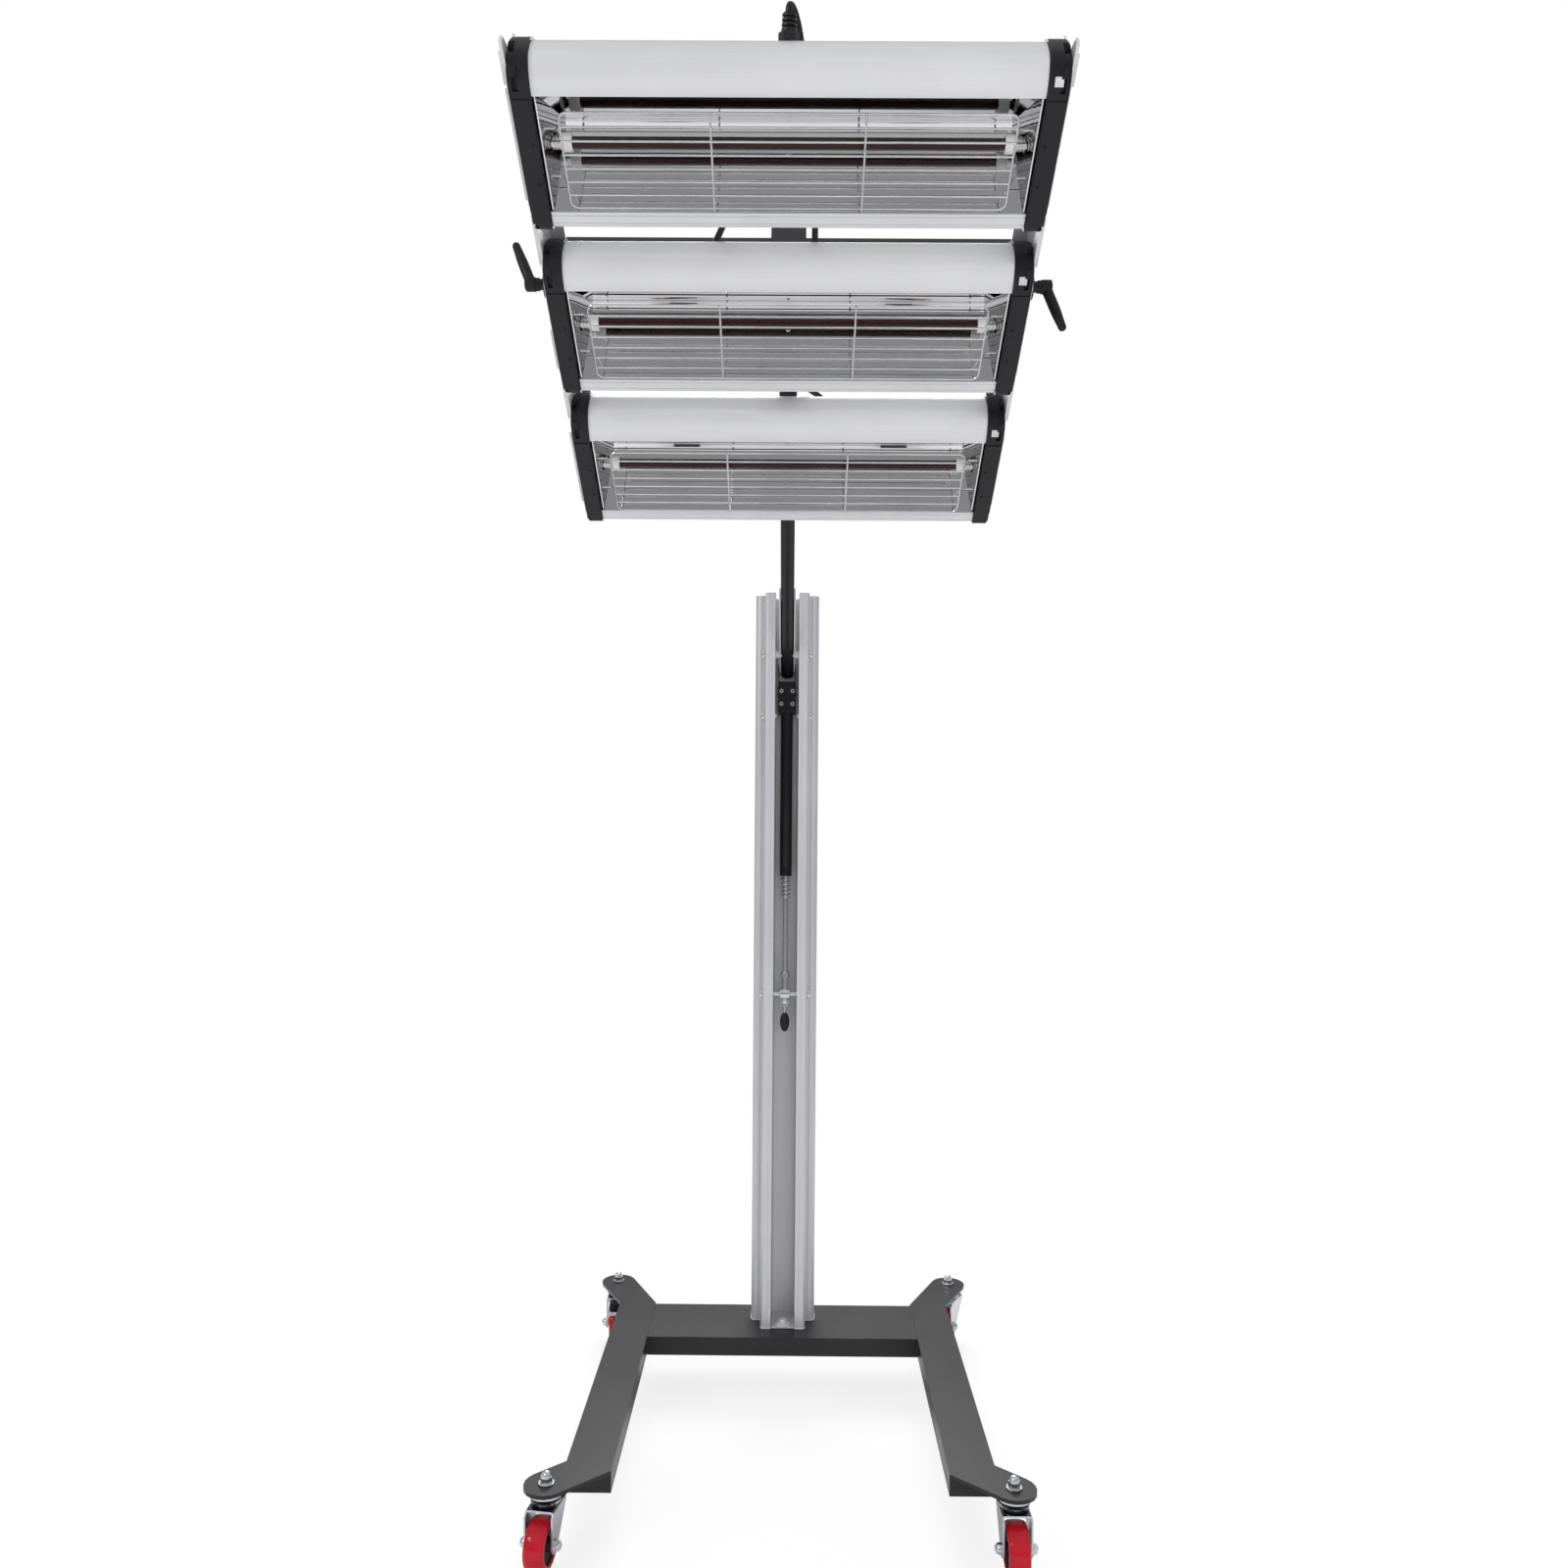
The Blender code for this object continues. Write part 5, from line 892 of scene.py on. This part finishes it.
def socketMesh():
    start, collar, last = heater["half"], heater["collar"], heater["collarEnd"]
    wide, thin, end = heater["socket"], heater["socket"] - heater["clipDepth"], heater["end"]
    profile = [(collar - 0.0006, start), (collar, start + 0.0006),
               (collar, last - 0.0006), (collar - 0.0006, last)]
    place = last
    while place < end - 0.0030:
        profile += [(wide, place), (wide, place + 0.0018), (thin, place + 0.0021), (thin, place + 0.0030)]
        place += heater["clipPitch"]
    profile += [(wide, place), (wide, end)]
    pieces = [flippedX(acrossX(turned(profile))), acrossX(turned(profile))]
    # steel clips hold the ends behind the collars
    return twoFinishes(shifted(merged(*pieces), heaterSpot), "whiteCeramic", "rippledSheet",
                       lambda face: abs(face.center.x) > last + 0.0001)


def heaterMesh():
    half = heater["half"] + 0.001
    return acrossX(rod(heater["radius"], -half, half, 48), heaterSpot)


guard = {"wire": 0.0011, "half": 0.221, "edge": 0.0105, "corner": 0.008, "longs": 6, "cross": 0.075,
         "proud": 0.0085, "legDepth": 0.008, "legRun": 0.006, "legs": (0.25, 0.75), "weld": 0.0004}


def guardMesh():
    low, high = guard["edge"], lamp["opening"] - guard["edge"]
    half, corner, wire, level = guard["half"], guard["corner"], guard["wire"], -guard["proud"]
    hoop = []
    for x, y, start in ((half - corner, high - corner, 0), (corner - half, high - corner, 90),
                        (corner - half, low + corner, 180), (half - corner, low + corner, 270)):
        hoop += [(*point, level) for point in arc((x, y), (corner, corner), start, start + 90, 8)]
    wires = [swept(hoop, wire, closed=True)]
    pitch = (high - low) / (guard["longs"] + 1)
    for place in range(guard["longs"]):
        y = low + pitch * (place + 1)
        wires.append(swept([(-half, y, level), (half, y, level)], wire))
    front = guard["weld"] + level - 2 * wire
    for x in (-guard["cross"], guard["cross"]):
        wires.append(swept([(x, low - wire, front), (x, high + wire, front)], wire))
    lean = reflector["flare"] / reflector["depth"]
    tip = reflector["end"] - reflector["sheet"] - lean * (guard["legDepth"] + wire) - stand["gap"]
    bend, deep = half + guard["legRun"], guard["legDepth"]
    leg = ((half, level), (bend - 0.0008, deep - 0.0022), (bend + 0.0008, deep - 0.0005),
           (bend + 0.003, deep), (tip, deep))
    for side in (-1, 1):
        for share in guard["legs"]:
            wires.append(swept([(side * x, low + (high - low) * share, z) for x, z in leg], wire))
    return merged(*wires)


def makeLamps():
    housing, endCap, tray = housingMesh(), capMesh(), reflectorMesh()
    leftCap = flippedX(endCap.copy())
    tube, sockets, wires, glintPatch = heaterMesh(), socketMesh(), guardMesh(), glintPatchMesh()
    for row, name in ((-1, "top_lamp"), (0, "middle_lamp"), (1, "bottom_lamp")):
        at = lampSpot(row)
        addPiece(f"{name}_shell", housing, "lampSatin", "head", at, [f"{name}_housing"], 0.0003)
        addPiece(f"{name}_mirror", tray, "mirrorSheet", "head", at, [f"{name}_reflector"])
        addPiece(f"{name}_mirror_screw", mirrorScrew(), "zincPlate", "head", at)
        addPiece(f"{name}_quartz", tube, "rubyQuartz", "head", at, [f"{name}_heater"])
        addPiece(f"{name}_sockets", sockets, "whiteCeramic", "head", at)
        addPiece(f"{name}_wires", wires, "chromeWire", "head", at, [f"{name}_guard"])
        for side, hand, mesh in ((-1, "left", leftCap), (1, "right", endCap)):
            addPiece(f"{name}_{hand}_end", mesh, "capPlastic", "head", at, [f"{name}_{hand}_cap"], 0.0004)
            addPiece(f"{name}_{hand}_screws", capScrews(side), "armBlack", "head", at)
        # painted highlight: a pale square on each right cap
        addPiece(f"{name}_right_glint_patch", glintPatch, "zincPlate", "head", at, edge=0.0003)
        print(name, "done")


# Head: rails, levers, gland and leads

lever = {"start": 0.2751, "hub": 0.0078, "length": 0.054, "hubLength": 0.0215, "root": 0.0062, "tip": 0.0046,
         "swell": 0.0012, "neck": 0.0042, "flutes": 24, "fluteDepth": 0.0006, "fluteEnd": 0.0085,
         "stud": 0.004, "splay": 22, "leftAngle": 115, "rightAngle": -60}


def leverMesh(side, angle):
    start, wide = lever["start"] + stand["gap"], lever["hub"]
    end, neck, fluteEnd = start + lever["hubLength"], start + lever["neck"], start + lever["fluteEnd"]
    shoulder = end - wide * 0.35
    hub = turned([(wide * 0.78, start), (wide * 0.78, neck - 0.0002), (wide * 0.9, neck),
                  (wide * 0.9, fluteEnd), (wide, fluteEnd + 0.0003), (wide, shoulder)]
                 + arc((0, shoulder), (wide, wide * 0.35), 10, 80, 6) + [(0, end)],
                 72, lever["flutes"], lever["fluteDepth"], (neck, fluteEnd + 0.0004))
    stud = rod(lever["stud"], start - 0.012, start + 0.001)
    tipAt = lever["length"] - lever["tip"]
    sections = []
    for share in range(13):
        t = share / 12
        reach = lever["root"] + (lever["tip"] - lever["root"]) * t
        sections.append((reach + lever["swell"] * math.sin(math.pi * t) ** 2 * t, t * tipAt))
    tipRound = arc((0, tipAt), (lever["tip"], lever["tip"]), 15, 80, 5)
    handle = turned(sections + tipRound + [(0, lever["length"])], 40)
    handle = shifted(handle, (0, 0, end - wide), lever["splay"] - 90)
    body = acrossX(shifted(merged(hub, stud, handle), turn=angle, axis="Z"))
    return body if side > 0 else flippedX(body)


# each lead's lamp row, its course across the lamps' backs, and where it starts and ends on them
leadCourses = {
    "top_lead": (-1, [(0.001, -0.0425, 0.0850), (0.003, -0.0395, 0.0880), (0.006, -0.0315, 0.0900),
                      (0.0095, -0.0180, 0.0900), (0.0140, 0.0050, 0.0885), (0.0205, 0.0380, 0.0868),
                      (0.0255, 0.0800, 0.0855), (0.0285, 0.1300, 0.0850), (0.0295, 0.1850, 0.0860),
                      (0.0300, 0.2200, 0.0930), (0.0300, 0.2360, 0.0945)], None, (0.0300, 0.2450)),
    "left_lead": (-1, [(-0.0642, 0.0880, 0.0930), (-0.0648, 0.1050, 0.0925), (-0.0655, 0.1300, 0.0880),
                       (-0.0670, 0.1600, 0.0870), (-0.0730, 0.1850, 0.0885), (-0.0845, 0.2130, 0.0925),
                       (-0.0878, 0.2260, 0.0940), (-0.0880, 0.2370, 0.0940)],
                  (-0.0640, 0.0800), (-0.0880, 0.2450)),
    "lower_lead": (0, [(0.0294, 0.0830, 0.0930), (0.0260, 0.1000, 0.0925), (0.0160, 0.1250, 0.0880),
                       (0.0085, 0.1520, 0.0860), (0.0110, 0.1750, 0.0865), (0.0240, 0.1970, 0.0885),
                       (0.0410, 0.2150, 0.0920), (0.0490, 0.2280, 0.0940), (0.0500, 0.2370, 0.0940)],
                   (0.0300, 0.0750), (0.0500, 0.2450)),
}
gland = {"angle": 45, "flange": 0.0104, "flangeLength": 0.0090, "body": 0.0076, "bodyLength": 0.017,
         "ribs": 4, "taper": 0.04, "ribDepth": 0.0018}
leadSize = {"radius": 0.0036, "bossTop": 0.0803, "stub": 0.003}


def glandSeat():
    a = math.radians(gland["angle"])
    reach, rise = lamp["backStart"] + lamp["topReach"], lamp["depth"] - lamp["shoulder"]
    seat = Vector((0, lamp["backStart"] - reach * math.cos(a), lamp["shoulder"] + rise * math.sin(a)))
    return seat, Vector((0, -math.cos(a) / reach, math.sin(a) / rise)).normalized()


def makeGland():
    seat, out = glandSeat()
    wide, foot = gland["flange"], gland["flangeLength"]
    nut = turned([(wide, 2 * stand["gap"]), (wide, foot - 0.0006), (wide - 0.0006, foot)], 6)
    profile = [(gland["body"], foot - 0.001)]
    rib = gland["bodyLength"] / gland["ribs"]
    for place in range(gland["ribs"]):
        low, crest = foot + place * rib, gland["body"] * (1 - gland["taper"] * place)
        valley = crest - gland["ribDepth"]
        profile += [(valley, low), (crest, low + rib * 0.15), (crest, low + rib * 0.68),
                    (valley, low + rib * 0.82)]
    profile.append((gland["body"] * 0.7, foot + gland["bodyLength"]))
    lean = math.degrees(math.atan2(-out.y, out.z))
    addPiece("gland_nut", merged(nut, turned(profile)), "leadRubber", "head",
             lampSpot(-1) @ spot(*seat, lean), ["lead_gland"])


def makeLeads():
    low, high = leadSize["bossTop"], leadSize["bossTop"] + leadSize["stub"]
    for name, (row, course, start, end) in leadCourses.items():
        if start is None:
            seat, out = glandSeat()
            first = seat + out * (gland["flangeLength"] + gland["bodyLength"] + 2 * stand["gap"])
            head = [first, first + out * leadSize["stub"]]
        else:
            head = [(*start, low), (*start, high)]
        path = smoothCourse(head + course + [(*end, high), (*end, low)])
        addPiece(f"{name}_sleeve", swept(path, leadSize["radius"], 16), "leadRubber", "head",
                 lampSpot(row), [name])


rail = {"near": 0.2668, "sheet": 0.0030, "flange": 0.0170, "back": 0.0810, "neck": 0.0220, "lobe": 0.0130,
        "lobeFrom": 0.003, "lobeTo": 0.115, "top": 0.018, "tip": 0.044, "bottom": 0.118, "chamfer": 0.010,
        "lip": 0.0050, "lipDeep": 0.0025, "hole": 0.0043}


def railMesh(side):
    # a plate with a lobe beside each lamp, a front lip, a flange behind the lamps and a hole for the stud
    pitch, lobe, neck, chamfer = stand["lampPitch"], rail["lobe"], rail["neck"], rail["chamfer"]
    lobeFrom, lobeTo, back, sheet = rail["lobeFrom"], rail["lobeTo"], rail["back"], rail["sheet"]
    top, tip, bottom = -pitch - rail["top"], -pitch - rail["tip"], pitch + rail["bottom"]
    front = [(top, neck + 2 * chamfer), (tip, lobe + chamfer), (tip, lobe)]
    for row in (-1, 0, 1):
        start, end = row * pitch + lobeFrom, row * pitch + lobeTo
        if row > -1:
            front += [(start - 2 * chamfer, neck), (start - chamfer / 2, (lobe + neck) / 2), (start, lobe)]
        front.append((end, lobe))
        if row < 1:
            front.append((end + 2 * chamfer, neck))
    outline = front + [(bottom, lobe + chamfer), (bottom, back), (top, back)]
    near, middle, far = rail["near"], rail["near"] + sheet / 2, rail["near"] + sheet
    web = sideways(outline, *sorted((side * near, side * far)))
    low, high = sorted((side * (near - rail["flange"]), side * middle))
    flange = block((low, top + chamfer, back - sheet), (high, bottom, back))
    hole = acrossX(rod(rail["hole"], -0.3, 0.3, 40), (0, stand["edgeToTilt"], stand["faceToTilt"]))
    low, high = sorted((side * middle, side * (near + rail["lip"])))
    lips = [(tip + chamfer, -pitch - 0.004, lobe)]   # the lip stops short round the tilt studs
    lips += [(row * pitch + lobeTo + 2 * chamfer, (row + 1) * pitch + lobeFrom - 2 * chamfer, neck)
             for row in (-1, 0)]
    if side < 0:
        lips += [(row * pitch + begin, row * pitch + lobeTo - 0.003, lobe)
                 for row, begin in ((-1, 0), (0, 0.060), (1, 0))]
    pieces = [block((low, first, deep), (high, last, deep + rail["lipDeep"])) for first, last, deep in lips]
    plate = worked(worked(web, "UNION", flange, *pieces), "DIFFERENCE", hole)
    return shifted(plate, (0, -stand["edgeToTilt"], -stand["faceToTilt"]))


def makeHead():
    hands = ((-1, "left"), (1, "right"))
    for side, hand in hands:
        addPiece(f"{hand}_side_plate", railMesh(side), "lampSatin", "head", headSpot,
                 [f"{hand}_rail"], 0.0005)
    for side, hand in hands:
        addPiece(f"{hand}_lever_handle", leverMesh(side, lever[f"{hand}Angle"]), "capPlastic",
                 f"{hand}_lever", headSpot, [f"{hand}_clamp_lever"])
    makeGland()
    makeLeads()


# Stage: white floor and backdrop, soft lamps, the photograph's camera

stage = {"floor": 4.0, "floorTop": -0.0002, "floorThick": 0.0098, "floorRough": 0.9, "floorShine": 0.1,
         "fade": (0.5, 1.4), "leastWhite": 0.80, "seenColour": 0.95, "bounceColour": 0.80,
         "skyColour": (0.97, 0.98, 1.0, 1),
         "lowSky": 0.28, "highSky": 0.68, "skyFrom": -0.05, "skyTo": 0.85,
         "backdrop": 0.35, "backFrom": 0.35, "backTo": 0.85}
studioLamps = {
    "frontPanel": {"at": (0.7, -3.1, 1.35), "aim": (0, -0.3, 1.15), "size": 2.2, "watts": 36,
                   "mirrored": False},
    "leftPanel": {"at": (-1.9, -1.7, 1.9), "aim": (0, -0.3, 0.9), "size": 0.6, "watts": 13, "mirrored": True},
    "topPanel": {"at": (0, 1.9, 2.4), "aim": (0, 0.1, 0), "size": 1.6, "watts": 62, "mirrored": True},
}
view = {"at": (0.0066, -1.66, 0.9378), "yaw": 0.297, "pitch": 0.053, "roll": 0.417,
        "focal": 1251.9, "frame": 1600, "lower": 15, "sensor": 36}


def makeWorld():
    world = bpy.data.worlds.new("studio")
    bpy.context.scene.world = world
    world.use_nodes = True
    tree = world.node_tree
    light = tree.nodes["Background"]
    light.inputs["Color"].default_value = stage["skyColour"]
    parts = addNode(tree, "SeparateXYZ", Vector=addNode(tree, "TexCoord").outputs["Generated"])
    # the room is dark low down and bright overhead, with a pale backdrop behind the lamp
    climb = addNode(tree, "MapRange", {"interpolation_type": "SMOOTHSTEP", "From Min": stage["skyFrom"],
                                       "From Max": stage["skyTo"], "To Min": stage["lowSky"],
                                       "To Max": stage["highSky"]}, Value=parts.outputs["Z"])
    behind = addNode(tree, "MapRange", {"interpolation_type": "SMOOTHSTEP", "From Min": stage["backFrom"],
                                        "From Max": stage["backTo"]}, Value=parts.outputs["Y"])
    room = addNode(tree, "Mix", {"B": stage["backdrop"]}, Factor=behind.outputs["Result"],
                   A=climb.outputs["Result"])
    tree.links.new(room.outputs["Result"], light.inputs["Strength"])
    white = addNode(tree, "Background", {"Color": (1, 1, 1, 1), "Strength": 1.0})
    path = addNode(tree, "LightPath")
    mixShaders(tree, path.outputs["Is Camera Ray"], light, white, tree.nodes["World Output"])


def mixShaders(tree, share, first, second, output):
    mix = addNode(tree, "MixShader")
    for place, socket in enumerate((share, first.outputs[0], second.outputs[0])):
        tree.links.new(socket, mix.inputs[place])
    tree.links.new(mix.outputs[0], output.inputs["Surface"])


def makeFloor():
    size, top = stage["floor"], stage["floorTop"]
    slab = block((-size, -size, top - stage["floorThick"]), (size, size, top))
    floor = bpy.data.objects.new("studio_floor", slab)
    bpy.context.scene.collection.objects.link(floor)
    material = bpy.data.materials.new("studioFloor")
    material.use_nodes = True
    tree = material.node_tree
    matt = tree.nodes["Principled BSDF"]
    matt.inputs["Roughness"].default_value = stage["floorRough"]
    matt.inputs["Specular IOR Level"].default_value = stage["floorShine"]
    isSeen = addNode(tree, "LightPath").outputs["Is Camera Ray"]
    shade = addNode(tree, "MapRange", {"To Min": stage["bounceColour"], "To Max": stage["seenColour"]},
                    Value=isSeen)
    tree.links.new(shade.outputs["Result"], matt.inputs["Base Color"])
    distance = addNode(tree, "VectorMath", {"operation": "LENGTH"})
    tree.links.new(addNode(tree, "TexCoord").outputs["Object"], distance.inputs[0])
    fade = addNode(tree, "MapRange", {"From Min": stage["fade"][0], "From Max": stage["fade"][1],
                                      "To Min": stage["leastWhite"]}, Value=distance.outputs["Value"])
    seen = addNode(tree, "Math", {"operation": "MULTIPLY"})
    tree.links.new(isSeen, seen.inputs[0])
    tree.links.new(fade.outputs["Result"], seen.inputs[1])
    mixShaders(tree, seen.outputs["Value"], matt, addNode(tree, "Emission"), tree.nodes["Material Output"])
    floor.data.materials.append(material)


def makeLights():
    for name, look in studioLamps.items():
        data = bpy.data.lights.new(name, "AREA")
        data.size = look["size"]
        data.energy = look["watts"]
        data.shape = "SQUARE"
        panel = bpy.data.objects.new(name, data)
        panel.location = look["at"]
        panel.visible_glossy = look["mirrored"]
        panel.rotation_euler = (Vector(look["aim"]) - Vector(look["at"])).to_track_quat("-Z", "Y").to_euler()
        bpy.context.scene.collection.objects.link(panel)


def makeCamera():
    data = bpy.data.cameras.new("photoCamera")
    data.sensor_width = view["sensor"]
    data.lens = view["sensor"] * view["focal"] / view["frame"]
    data.shift_y = view["lower"] / view["frame"]
    camera = bpy.data.objects.new("photoCamera", data)
    roll = Matrix.Rotation(math.radians(view["roll"]), 4, "Z")
    camera.matrix_world = spot(*view["at"], 90 + view["pitch"], view["yaw"]) @ roll
    bpy.context.scene.collection.objects.link(camera)
    bpy.context.scene.camera = camera


makeBase()
makeCastors()
print("base and castors done")
makeColumn()
makeArm()
makeStrut()
print("column, arm and strut done")
makeLamps()
makeHead()
print("head done")
makeWorld()
makeFloor()
makeLights()
makeCamera()
print("stage done")
bpy.context.scene.view_settings.view_transform = "Standard"
